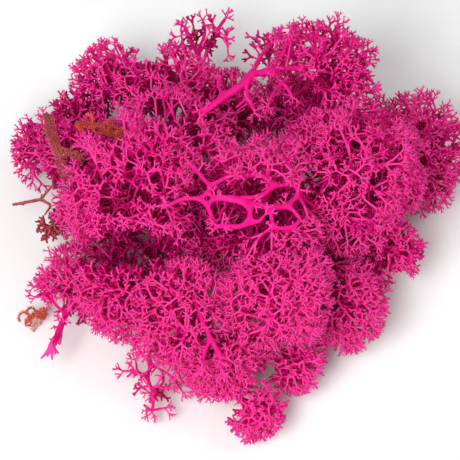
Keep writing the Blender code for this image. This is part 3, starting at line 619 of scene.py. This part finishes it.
class Skeleton:
    """Points with a thickness, joined by lines, that the Skin modifier turns into limbs."""

    def __init__(self):
        self.points = []
        self.radii = []
        self.tones = []
        self.lines = []

    def add(self, point, radius, joint=None, tone=None):
        self.points.append(point)
        self.radii.append(radius)
        self.tones.append(limb_tone(point) if tone is None else tone)
        if joint is not None:
            self.lines.append((joint, len(self.points) - 1))
        return len(self.points) - 1

    def nearest(self, place, joints):
        """The number of the joint that lies nearest to a place, or None if there are none."""
        return min(joints, key=lambda k: (self.points[k] - place).length, default=None)

    def finish(self, name):
        """A new object of its limbs, webbed at their forks."""
        piece = new_piece(name, [tuple(point) for point in self.points], self.lines, [])
        select_only(piece)
        bpy.ops.object.modifier_add(type="SKIN")
        meeting = Counter(joint for line in self.lines for joint in line)
        skin = piece.data.skin_vertices[0].data
        for joint, (corner, radius) in enumerate(zip(skin, self.radii)):
            width = radius * WEB if meeting[joint] > 2 and radius > WEBBED_FROM else radius
            corner.radius = (width, width)
        skin[0].use_root = True
        piece.modifiers["Skin"].branch_smoothing = BRANCH_SMOOTHING
        bpy.ops.object.modifier_add(type="SUBSURF")
        bpy.ops.object.modifier_apply(modifier="Skin")
        bpy.ops.object.modifier_apply(modifier="Subdivision")
        spots = KDTree(len(self.points))
        for k, point in enumerate(self.points):
            spots.insert(point, k)
        spots.balance()
        set_tone(piece.data, [self.tones[spots.find(vert.co)[1]] for vert in piece.data.vertices])
        return piece


def finish_piece(name, parts, node, material):
    """Joins the parts of a piece, brings them to their place in metres and dresses the node with them."""
    select_only(parts[0])
    for part in parts[1:]:
        part.select_set(True)
    if len(parts) > 1:
        bpy.ops.object.join()
    piece = parts[0]
    piece.name = name
    piece.data.transform(Matrix.Scale(MM, 4) @ Matrix.Translation(-CENTRE_OF_CLUMP))
    piece.data.materials.clear()
    piece.data.materials.append(material)
    bpy.ops.object.shade_smooth()
    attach(piece, "root")
    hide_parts(node)


# Lichen


class Tuft:
    """One tuft of lichen: where its trunk starts, and the round crown that it fills."""

    def __init__(self, name, base, crown, reach, openness):
        self.name = name
        self.base = Vector(base)
        self.crown = Vector(crown)
        self.reach = reach
        self.openness = openness
        self.rng = random.Random(name)
        self.bundle = Bundle()
        self.skeleton = Skeleton()

    @property
    def axis(self):
        return (self.crown - self.base).normalized()

    @property
    def fineness(self):
        """How large its heads are, as a share of those of a large tuft."""
        return min(1.0, LEAST_FINE + self.reach / FULL_SIZE_REACH)

    @property
    def frontness(self):
        """How near the tuft is to the front, where the painted light on the dye is brightest, from 0 to 1.
        """
        return max(0.0, min(1.0, (FRONT_FROM - self.crown.y) / FRONT_DEPTH))

    def room(self, point):
        """How far a point lies above the surface and inside the tuft's own cell of the clump."""
        own = (point - self.crown).length_squared - self.reach**2
        least = point.z
        for other in TUFTS:
            if other is not self:
                theirs = (point - other.crown).length_squared - other.reach**2
                least = min(least, (theirs - own) / (2 * (other.crown - self.crown).length))
        return least

    def kept_in(self, point, margin):
        """The point, pulled towards the middle of the crown until it is that far inside the cell."""
        if self.room(point) >= margin:
            return point
        inside, outside = 0.0, 1.0
        for _ in range(HALVINGS):
            middle = (inside + outside) / 2
            if self.room(self.crown.lerp(point, middle)) >= margin:
                inside = middle
            else:
                outside = middle
        return self.crown.lerp(point, inside)


TUFTS = [Tuft(name, *row) for name, row in TUFT_TABLE.items()]
*DYED_TUFTS, BROWN_SCRAP = TUFTS
DEBRIS_ROUTES = [*STRAND_ROUTES, *ORANGE_MOSS_ROUTES.values()]
DEBRIS_ROUTES += [route for row in TWIG_TABLE.values() for route in row[2:]]
DEBRIS = [curve_through(route, DEBRIS_STEP) for route in DEBRIS_ROUTES]


def even_directions(count):
    """Directions spread evenly over a sphere, by the golden angle."""
    for k in range(count):
        z = 1 - 2 * (k + 0.5) / count
        across = math.sqrt(1 - z * z)
        turn = GOLDEN_ANGLE * k
        yield Vector((across * math.cos(turn), across * math.sin(turn), z))


def shell_places(tuft, radius, spacing, pitted):
    """Where the stems of heads end, over a shell of the crown and down the walls of the tuft's cell."""
    turned = tuft.axis.to_track_quat("Z", "Y")
    places = []
    for direction in even_directions(round(4 * math.pi * radius**2 / (spacing**2 * PACKING))):
        aim = turned @ direction
        wanted = tuft.crown + aim * radius
        lump = 1 + LUMP_DEPTH * noise.noise(wanted / LUMP_SIZE)
        place = tuft.kept_in(tuft.crown + aim * radius * lump, HEAD_ROOM)
        if aim.angle(tuft.axis) > MOST_TURN_BACK or hides_debris(place + aim):
            continue
        if pitted and noise.noise(wanted / PIT_SIZE) > PIT_LEVEL:
            place = tuft.crown.lerp(place, PIT_FLOOR)
        while in_hollow(place + aim * HOLLOW_AHEAD) and (place - tuft.crown).length > spacing / 2:
            place = tuft.crown.lerp(place, HOLLOW_PULL)
        if all((place - other).length > spacing * NEAREST_HEADS for other in places):
            places.append(place)
    return places


def in_hollow(point, rim=1.0):
    """Whether a point lies too high in one of the hollows that show from above, short of its rim."""
    where = seen_at(point)
    return any(
        point.z > height and sum(((w - m) / h) ** 2 for w, m, h in zip(where, middle, half)) < rim
        for middle, half, height in HOLLOWS
    )


def depth_in_clump(point):
    """How far a point lies inside the round crown that goes farthest round it."""
    return max(tuft.reach - (point - tuft.crown).length for tuft in TUFTS)


def limb_tone(point):
    """The tone of a limb, with painted shade that darkens it the deeper it lies in the clump."""
    return max(DARKEST_LIMB, LIMB_TONE - PAINTED_DEPTH_SHADE * depth_in_clump(point))


def hides_debris(point):
    """Whether a head there would cover the moss or the twigs in the picture plane."""
    right, up = seen_at(point)
    depth = nearness(point)
    for route in DEBRIS:
        for other in route:
            across = math.dist((right, up), seen_at(other))
            if across < DEBRIS_ROOM and depth > nearness(other) - DEBRIS_ROOM:
                return True
    return False


def groups_of(places, origin, count):
    """The places in up to that many groups, by their direction from a point."""
    rays = [(place - origin).normalized() for place in places]
    mean = mean_of(rays)
    centres = [min(rays, key=lambda ray: ray.dot(mean))]
    while len(centres) < count:
        centres.append(min(rays, key=lambda ray: max(ray.dot(centre) for centre in centres)))
    for _ in range(GROUPING_ROUNDS):
        groups = [[] for _ in centres]
        for k, ray in enumerate(rays):
            groups[max(range(len(centres)), key=lambda c: ray.dot(centres[c]))].append(k)
        groups = [group for group in groups if group]
        centres = [mean_of([rays[k] for k in group]).normalized() for group in groups]
    return [[places[k] for k in group] for group in groups]


def bowed(start, heading, end, rings):
    """Points on a curve that leaves start along a heading and comes to end."""
    knee = start + heading * (end - start).length * KNEE
    shares = [k / (rings - 1) for k in range(rings)]
    return [start * (1 - t) ** 2 + knee * 2 * t * (1 - t) + end * t**2 for t in shares]


def grow_head(tuft, start, heading, height, level, tone, inner=False):
    """A head of tips: it forks three times, each fork with shorter and thinner arms.

    Inner heads fork only twice and are stouter.
    """
    share, angle, radius = HEAD_FORKS[level]
    radius *= INNER_STOUTNESS if inner else 1
    outward = (start - tuft.crown).normalized()
    last = level == len(HEAD_FORKS) - 1
    arms = 3 if tuft.rng.random() < (INNER_FULLNESS if inner else FULLNESS) else 2
    spin = tuft.rng.uniform(0, math.tau)
    heading = heading.lerp(outward, TURN_OUT).normalized()
    for k in range(arms):
        tilt = math.radians(angle) * tuft.rng.uniform(*ARM_ANGLES)
        aside = round_about(heading, spin + math.tau * k / arms)
        aim = heading * math.cos(tilt) + aside * math.sin(tilt)
        end = start + aim * height * share * tuft.rng.uniform(*ARM_LENGTHS)
        if end.z < FLOOR_ROOM or level == 0 and tuft.room(end) < 0:
            continue
        # Painted shade on the inner forks, painted light on the tips
        shade = tone + HEAD_PAINTED_SHADING[level]
        if last:
            tuft.bundle.add_tube([start, end], [radius, 0], 3, shade)
            continue
        rings = 3 if level == 0 else 2
        thick = [radius * taper for taper in ARM_TAPER[:rings]]
        tuft.bundle.add_tube(bowed(start, heading, end, rings), thick, 3, shade)
        if not inner or level == 0:
            grow_head(tuft, end, aim, height, level + 1, tone, inner)


def grow_limbs(tuft, lichen, fork, heading, places, joint):
    """A limb from a fork out towards the heads that it carries, and the limbs that it forks into."""
    to = mean_of(places) - fork
    radius = HEAD_STEM * len(places) ** THICKENING
    if len(places) == 1:
        aim = (places[0] - fork).normalized()
        points = bowed(fork, heading.lerp(aim, STEM_COURSE).normalized(), places[0], 3)
        radii = [radius * taper for taper in STEM_TAPER]
        # Painted shade and light: heads nearer the middle of the crown get a darker tone, heads of tufts
        # nearer the front a lighter one; the spread between heads is tone that differs at random
        depth = (places[0] - tuft.crown).length / tuft.reach
        tone = TONE_RISE * depth + TONE_START + TONE_SPREAD * tuft.rng.random()
        tone = max(0.0, min(1.0, tone + FRONT_PAINTED_LIGHT * tuft.frontness))
        inner = depth < INNER_BELOW
        height = lichen.head_height * tuft.fineness * tuft.rng.uniform(*HEAD_HEIGHTS)
        height *= INNER_HEIGHT if inner else 1
        tuft.bundle.add_tube(points, radii, 4, tone)
        grow_head(tuft, places[0], (points[-1] - points[-2]).normalized(), height, 0, tone, inner)
        return
    least, most = NEAR_STEPS
    step = min(max(SHORTEST_STEP, STEP_SHARE * to.length), max(least, most * to.length))
    aim = to.normalized().lerp(heading, KEEP_COURSE).normalized()
    wobble = Vector([tuft.rng.uniform(-1, 1) for _ in range(3)]) * step * WOBBLE
    end = fork + aim * step + wobble
    end.z = max(end.z, radius + FLOOR_ROOM)
    if len(places) >= SKINNED_FROM:
        middle = bowed(fork, heading, end, 3)[1]
        joint = tuft.skeleton.add(middle, radius, joint)
        joint = tuft.skeleton.add(end, radius * SKIN_TAPER, joint)
    else:
        radii = [radius * taper for taper in LIMB_TAPER]
        tuft.bundle.add_tube(bowed(fork, heading, end, 3), radii, 5, limb_tone(end))
    ways = 3 if len(places) > 2 and tuft.rng.random() < THREE_WAY else 2
    for group in groups_of(places, end, ways):
        course = (end - fork).normalized()
        grow_limbs(tuft, lichen, end, course, group, joint)


def lay_bare_limbs(tuft):
    """The limbs of a tuft that show from above.

    Gives the numbers of their points, and (number, direction) of each limb's end.
    """
    height, *limbs = LIMB_TABLE[tuft.name]
    middle = limbs[0][1]
    leaving = []
    ends = []
    for radius, *route in limbs:
        joint = None
        points = []
        for right, up in route:
            fall = LIMB_FALL * ((right - middle[0]) ** 2 + (up - middle[1]) ** 2)
            points.append(in_view(right, up, height - fall))
        smooth = curve_through(points, BARE_STEP)
        for point in smooth:
            met = tuft.skeleton.nearest(point, range(len(tuft.skeleton.points)))
            if met is None or (tuft.skeleton.points[met] - point).length >= SAME_SPOT:
                joint = tuft.skeleton.add(point, radius, joint, BARE_TONE)
                leaving.append(joint)
            else:
                if joint is not None and joint != met:
                    tuft.skeleton.lines.append((joint, met))
                joint = met
        ends.append((joint, (smooth[-1] - smooth[-2]).normalized()))
    return leaving, ends


def add_side_shoots(tuft, lichen, leaving):
    """Short forked shoots here and there on the bare limbs, fewer on a sprig."""
    clear = [k for k in leaving if not in_hollow(tuft.skeleton.points[k], HOLLOW_RIM)]
    count = lichen.side_shoots * len(clear) / SHOOT_POINTS
    count *= 1 if tuft.reach > SPRIG_REACH else SPRIG_SHOOTS
    for _ in range(round(count)):
        k = tuft.rng.choice(clear)
        start = tuft.skeleton.points[k]
        aim = Vector([tuft.rng.uniform(-1, 1) for _ in range(3)]).normalized()
        aim = (aim + Vector((0, 0, SHOOT_RISE))).normalized()
        end = start + aim * tuft.rng.uniform(*SHOOT_LENGTHS)
        tuft.bundle.add_tube(bowed(start, aim, end, 3), SHOOT_RADII, 4, SHOOT_TONES[0])
        grow_head(tuft, end, aim, lichen.head_height * SHOOT_HEAD, 1, SHOOT_TONES[1])


def split_foot(tuft):
    """The claws that a torn stem ends in."""
    if tuft.name not in SPLIT_FEET:
        return
    height, fork, *claws = SPLIT_FEET[tuft.name]
    start = in_view(*fork, height)
    for claw in claws:
        end = in_view(*claw, height - CLAW_DROP)
        heading = (end - start).normalized().lerp(Vector((0, -1, 0)), CLAW_COURSE)
        points = [*bowed(start, heading, end, 4), end + heading * CLAW_POINT]
        tuft.bundle.add_tube(points, CLAW_RADII, 6, CLAW_TONE)


def carriers_of(tuft, leaving):
    """The points that carry the heads' limbs: some of the bare limbs' own, apart and outside hollows.

    In a large tuft the first is one in the middle of its crown.
    """
    carriers = []
    if tuft.reach > SPRIG_REACH:
        near = tuft.skeleton.nearest(tuft.crown, leaving)
        carriers.append(tuft.skeleton.add(tuft.crown, HEART_LIMB, near))
    points = tuft.skeleton.points
    for k in leaving:
        apart = all((points[k] - points[other]).length > CARRIER_GAP for other in carriers)
        if apart and not in_hollow(points[k], HOLLOW_RIM):
            carriers.append(k)
    return carriers


def grow_from_bare_limbs(tuft, lichen, places):
    """The bare limbs of a tuft, and on them the limbs that carry its heads."""
    leaving, ends = lay_bare_limbs(tuft)
    if not in_hollow(tuft.base):
        start = tuft.skeleton.add(tuft.base, TRUNK_RADIUS)
        tuft.skeleton.lines.append((start, tuft.skeleton.nearest(tuft.base, leaving)))
    carriers = carriers_of(tuft, leaving)
    carried = {}
    for place in places:
        far = [(tuft.skeleton.points[k] - place).length for k in carriers]
        if tuft.reach > SPRIG_REACH:
            far[0] *= HEART_PULL
        carried.setdefault(carriers[far.index(min(far))], []).append(place)
    for k, group in sorted(carried.items()):
        point = tuft.skeleton.points[k]
        for some in groups_of(group, point, 1 + min(MOST_GROUPS, len(group) // GROUP_HEADS)):
            heading = (mean_of(some) - point).normalized()
            grow_limbs(tuft, lichen, point, heading, some, k)
    add_side_shoots(tuft, lichen, leaving)
    split_foot(tuft)
    for joint, heading in ends:
        grow_head(tuft, tuft.skeleton.points[joint], heading, lichen.head_height * END_HEAD, 0, END_TONE)


def build_tuft(tuft, lichen, material):
    """A tuft, from its trunk to its tips."""
    spacing = lichen.head_spacing * tuft.openness * tuft.fineness
    radius = max(LEAST_SHELL, tuft.reach - lichen.head_height * SHELL_INSET)
    places = shell_places(tuft, radius, spacing, True)
    deeper = []
    for share, widening in INNER_SHELLS:
        inner = shell_places(tuft, tuft.reach * share, spacing * widening, False)
        deeper += [place for place in inner if depth_in_clump(place) > INNER_DEPTH]
    if tuft.name in LIMB_TABLE:
        grow_from_bare_limbs(tuft, lichen, places + deeper)
    else:
        heading = Vector((0, 0, 1)) if tuft.base.z == 0 else tuft.axis
        root = tuft.skeleton.add(tuft.base, HEAD_STEM * len(places) ** THICKENING * ROOT_WIDENING)
        grow_limbs(tuft, lichen, tuft.base, heading, places + deeper, root)
    parts = [tuft.bundle.finish("fine"), tuft.skeleton.finish("limbs")]
    finish_piece(f"lichen_{tuft.name}", parts, tuft.name, material)


def lichen_material(name, lit, mid, shaded_dye):
    """Dried reindeer lichen kept soft with glycerine: felted, matt, a little waxy, dyed right through.

    The dye takes unevenly, so heads differ from each other. Its darker shades are painted shade inside the
    clump, and its lighter ones painted light on the tips and at the front. The felt is drawn a little
    coarser than it is, so that it shows.
    """
    finish = {"Roughness": 0.5, "Subsurface Weight": 0.1, "Subsurface Radius": (1.0, 0.2, 0.5)}
    finish |= {"Subsurface Scale": 0.0005, "Specular IOR Level": 0.13}
    pattern = {"Scale": 1 / (LICHEN_PATCH * MM), "Detail": 4.0, "Roughness": 0.68}
    # Painted shade at low tones, the plain dye in the middle, painted light at the top
    stops = ((0.42, shaded_dye), (0.85, mid), (1.1, lit))
    felt = {"Scale": 1 / (FELT_GRAIN * MM), "Detail": 2.0}
    relief = (felt, {"Strength": 0.35, "Distance": 0.00008})
    return mottled_material(name, finish, pattern, stops, 0.7, relief)


class CLUMP_OT_lichen(Operator):
    """Grows the dyed tufts, with their limbs, heads and tips"""

    bl_idname = "clump.lichen"
    bl_label = "Dyed lichen"

    def execute(self, context):
        lichen = context.scene.clump_lichen
        shades = (lichen.lit_pink, lichen.mid_pink, lichen.shaded_pink)
        dyed = lichen_material("reindeer lichen, dyed magenta", *shades)
        for tuft in DYED_TUFTS:
            build_tuft(tuft, lichen, dyed)
        return {"FINISHED"}


class CLUMP_OT_scrap(Operator):
    """Grows the brown scrap of lichen that took no dye"""

    bl_idname = "clump.scrap"
    bl_label = "Brown scrap"

    def execute(self, context):
        lichen = context.scene.clump_lichen
        # Lit and shaded copies of the brown, as painted light and shade
        shades = [[share * level for share in lichen.brown] for level in SCRAP_LIT_AND_SHADED]
        brown = lichen_material("reindeer lichen, dried brown", *shades)
        build_tuft(BROWN_SCRAP, lichen, brown)
        return {"FINISHED"}


# Moss and twigs


def add_leaf(bundle, foot, aim, face, length, width, tone):
    """A pointed leaf, folded along its midrib."""
    side = aim.cross(face).normalized() * width / 2
    middle = foot + aim * length * LEAF_WIDEST
    rise = face * width * LEAF_FOLD
    verts = [foot, middle + side + rise, foot + aim * length, middle - side + rise, middle]
    faces = [(0, 1, 4), (1, 2, 4), (4, 2, 3), (0, 4, 3)]
    bundle.add_shape([tuple(vert) for vert in verts], faces, [tone * 0.8, tone, 1.0, tone, tone * 0.9])


def add_leafy_stem(bundle, rng, points, gap, stem):
    """A stem closed in by small pointed leaves, set in a spiral and leaning towards its tip."""
    radius, length, width = stem
    route = curve_through(points, gap)
    turn = rng.uniform(0, math.tau)
    for k, (here, ahead) in enumerate(zip(route, route[1:])):
        heading = (ahead - here).normalized()
        turn += GOLDEN_ANGLE
        out = round_about(heading, turn)
        taper = min(1.0, LEAST_LEAF + LEAF_TAPER * (1 - k / len(route)))
        aim = (heading * rng.uniform(*LEAF_LEANS) + out).normalized()
        size = length * taper * rng.uniform(*LEAF_SIZES)
        foot = here + out * radius * LEAF_FOOT
        add_leaf(bundle, foot, aim, out, size, width, rng.uniform(*LEAF_TONES))
    spine = curve_through(points, SPINE_STEP)
    bundle.add_tube(spine, [radius] * len(spine), 5, SPINE_TONE)


def moss_material(name, low, high):
    """Dried moss: thin dull leaves, browner at their feet and paler at their points."""
    finish = {"Roughness": 0.75, "Sheen Weight": 0.1, "Specular IOR Level": 0.25}
    pattern = {"Scale": 1 / (MOSS_PATCH * MM), "Detail": 2.0}
    feet = [share * 0.45 for share in low]
    return mottled_material(name, finish, pattern, ((0.3, feet), (0.75, low), (1.25, high)), 0.8)


class CLUMP_OT_feather_moss(Operator):
    """Makes the brown strand of feather moss, with rows of small leaves on its stem and side branches"""

    bl_idname = "clump.feather_moss"
    bl_label = "Feather moss strand"

    def execute(self, context):
        moss = context.scene.clump_moss
        rng = random.Random("feather moss")
        bundle = Bundle()
        for corners in STRAND_ROUTES:
            add_leafy_stem(bundle, rng, corners, moss.leaf_gap, STRAND_STEM)
            route = curve_through(corners, SPINE_STEP)
            for k, (here, ahead) in enumerate(zip(route, route[1:])):
                heading = (ahead - here).normalized()
                side = heading.cross(FACING_UP).normalized() * (-1) ** k
                lift = FACING_UP * rng.uniform(*BRANCH_LIFTS)
                aim = (side + heading * BRANCH_LEAN + lift).normalized()
                tip = here + aim * rng.uniform(*BRANCH_LENGTHS)
                add_leafy_stem(bundle, rng, [here, here.lerp(tip, 0.5), tip], moss.leaf_gap, STRAND_BRANCH)
        material = moss_material("feather moss, dried brown", moss.feather_red, moss.feather_brown)
        parts = [bundle.finish("strand")]
        finish_piece("moss_strand", parts, "feather_moss_strand", material)
        return {"FINISHED"}


class CLUMP_OT_orange_moss(Operator):
    """Makes the orange moss: the curled sprig, and the cuff round the lower twig"""

    bl_idname = "clump.orange_moss"
    bl_label = "Orange moss"

    def execute(self, context):
        moss = context.scene.clump_moss
        material = moss_material("leafy moss, dried orange", moss.orange, moss.orange_tip)
        for node, route in ORANGE_MOSS_ROUTES.items():
            rng = random.Random(node)
            bundle = Bundle()
            add_leafy_stem(bundle, rng, route, moss.leaf_gap, SPRIG_STEM)
            for here in curve_through(route, CURL_STEP)[:-1]:
                axis = Vector((rng.uniform(-0.8, 0.8), rng.uniform(-1.2, 0), 1)).normalized()
                first = rng.uniform(0, math.tau)
                width = rng.uniform(*CURL_WIDTHS)
                arc = [round_about(axis, first + k * CURL_TURN) * width for k in range(CURL_POINTS)]
                curl = []
                for k, spoke in enumerate(arc):
                    curl.append(here + axis * (CURL_START + CURL_RISE * k) + spoke - arc[0])
                add_leafy_stem(bundle, rng, curl, moss.leaf_gap, SPRIG_CURL)
            finish_piece(f"moss_{node}", [bundle.finish("moss")], node, material)
        return {"FINISHED"}


def bark_material(name, bark, grain):
    """Thin dry bark of a small twig: fine ridges round it, darker in the cracks."""
    finish = {"Roughness": 0.7, "Specular IOR Level": 0.3}
    pattern = {"Scale": 1 / (grain * MM), "Detail": 4.0, "Roughness": 0.7}
    dark = [share * 0.35 for share in bark]
    light = [min(1, share * 1.5 + 0.02) for share in bark]
    stops = ((0.35, dark), (0.5, bark), (0.68, light))
    relief = (pattern, {"Strength": 0.6, "Distance": 0.0001})
    return mottled_material(name, finish, pattern, stops, relief=relief)


class CLUMP_OT_twigs(Operator):
    """Makes the three twigs, with the knots of their buds"""

    bl_idname = "clump.twigs"
    bl_label = "Twigs"

    def execute(self, context):
        twig = context.scene.clump_twig
        for node, (slot, radii, *routes) in TWIG_TABLE.items():
            rng = random.Random(node)
            bundle = Bundle()
            for number, corners in enumerate(routes):
                start, end = radii if number == 0 else TWIG_ARM_RADII
                route = curve_through(corners, TWIG_STEP)
                shares = [k / (len(route) - 1) for k in range(len(route))]
                thick = [(start + (end - start) * s) * rng.uniform(*TWIG_SWELLING) for s in shares]
                bundle.add_tube([*route, route[-1] * 2 - route[-2]], [*thick, 0], 8, BARK_TONE)
                for k in range(2, len(route) - 1, BUD_EVERY):
                    heading = (route[k + 1] - route[k]).normalized()
                    aside = round_about(heading, rng.uniform(0, math.tau))
                    out = (aside + heading * BUD_LEAN).normalized()
                    reaches = (0, thick[k] * BUD_MIDDLE, thick[k] + BUD_LENGTH)
                    bud = [route[k] + out * reach for reach in reaches]
                    bundle.add_tube(bud, [thick[k] * share for share in BUD_RADII], 6, BARK_TONE)
            name = f"twig with thin bark, {slot.split('_')[0]}"
            material = bark_material(name, getattr(twig, slot), twig.bark_grain)
            finish_piece(f"bark_{node}", [bundle.finish("twig")], node, material)
        return {"FINISHED"}


# Stage


class CLUMP_OT_stage(Operator):
    """Sets the pale floor, the soft lights and the camera"""

    bl_idname = "clump.stage"
    bl_label = "Studio"

    def execute(self, context):
        stage = context.scene.clump_stage
        bpy.ops.object.select_all(action="DESELECT")
        bpy.ops.mesh.primitive_plane_add(size=FLOOR_SIZE, location=(0, 0, 0))
        floor = context.object
        floor.name = "floor"
        finish = {"Roughness": 0.85, "Specular IOR Level": 0.2}
        fibres = {"Scale": 1 / (BOARD_FIBRES * MM), "Detail": 3.0}
        stops = ((0.3, [share * 0.985 for share in stage.floor]), (0.7, stage.floor))
        floor.data.materials.append(mottled_material("matt white board", finish, fibres, stops))

        world = bpy.data.worlds.new("soft studio")
        world.use_nodes = True
        background = world.node_tree.nodes["Background"]
        background.inputs["Color"].default_value = SKY_COLOUR
        background.inputs["Strength"].default_value = SKY_STRENGTH
        context.scene.world = world
        target = (Vector((0, 0, VIEW_HEIGHT)) - CENTRE_OF_CLUMP) * MM
        for name, (where, size, energy) in LIGHT_TABLE.items():
            bpy.ops.object.light_add(type="AREA", location=where)
            light = context.object
            light.name = name
            light.data.shape = "SQUARE"
            light.data.size = size
            light.data.energy = energy
            light.rotation_euler = (target - light.location).to_track_quat("-Z", "Y").to_euler()

        away = Vector((0, -math.cos(VIEW_TILT), math.sin(VIEW_TILT))) * stage.camera_distance
        bpy.ops.object.camera_add(location=target + away)
        camera = context.object
        camera.rotation_euler = (-away).to_track_quat("-Z", "Y").to_euler()
        camera.data.sensor_width = SENSOR_WIDTH
        camera.data.lens = SENSOR_WIDTH * stage.camera_distance / stage.frame_width
        context.scene.camera = camera
        context.scene.view_settings.view_transform = "Standard"
        return {"FINISHED"}


class CLUMP_PT_panel(Panel):
    """The pieces of the clump, and their settings"""

    bl_label = "Reindeer moss clump"
    bl_idname = "CLUMP_PT_panel"
    bl_space_type = "VIEW_3D"
    bl_region_type = "UI"
    bl_category = "Reindeer moss"

    def draw(self, context):
        layout = self.layout
        for operator in OPERATORS:
            layout.operator(operator.bl_idname)
        for settings in SETTINGS:
            group = getattr(context.scene, settings)
            for name in group.__annotations__:
                layout.prop(group, name)


SETTINGS = {
    "clump_lichen": LichenSettings,
    "clump_moss": MossSettings,
    "clump_twig": TwigSettings,
    "clump_stage": StageSettings,
}
OPERATORS = (
    CLUMP_OT_lichen,
    CLUMP_OT_scrap,
    CLUMP_OT_feather_moss,
    CLUMP_OT_orange_moss,
    CLUMP_OT_twigs,
    CLUMP_OT_stage,
)


def register():
    for cls in (*SETTINGS.values(), *OPERATORS, CLUMP_PT_panel):
        bpy.utils.register_class(cls)
    for name, cls in SETTINGS.items():
        setattr(bpy.types.Scene, name, PointerProperty(type=cls))


def unregister():
    for name in SETTINGS:
        delattr(bpy.types.Scene, name)
    for cls in (CLUMP_PT_panel, *OPERATORS, *SETTINGS.values()):
        bpy.utils.unregister_class(cls)


def main():
    """Builds every piece and the stage."""
    register()
    bpy.ops.clump.lichen()
    bpy.ops.clump.scrap()
    bpy.ops.clump.feather_moss()
    bpy.ops.clump.orange_moss()
    bpy.ops.clump.twigs()
    bpy.ops.clump.stage()


if __name__ == "__main__":
    main()
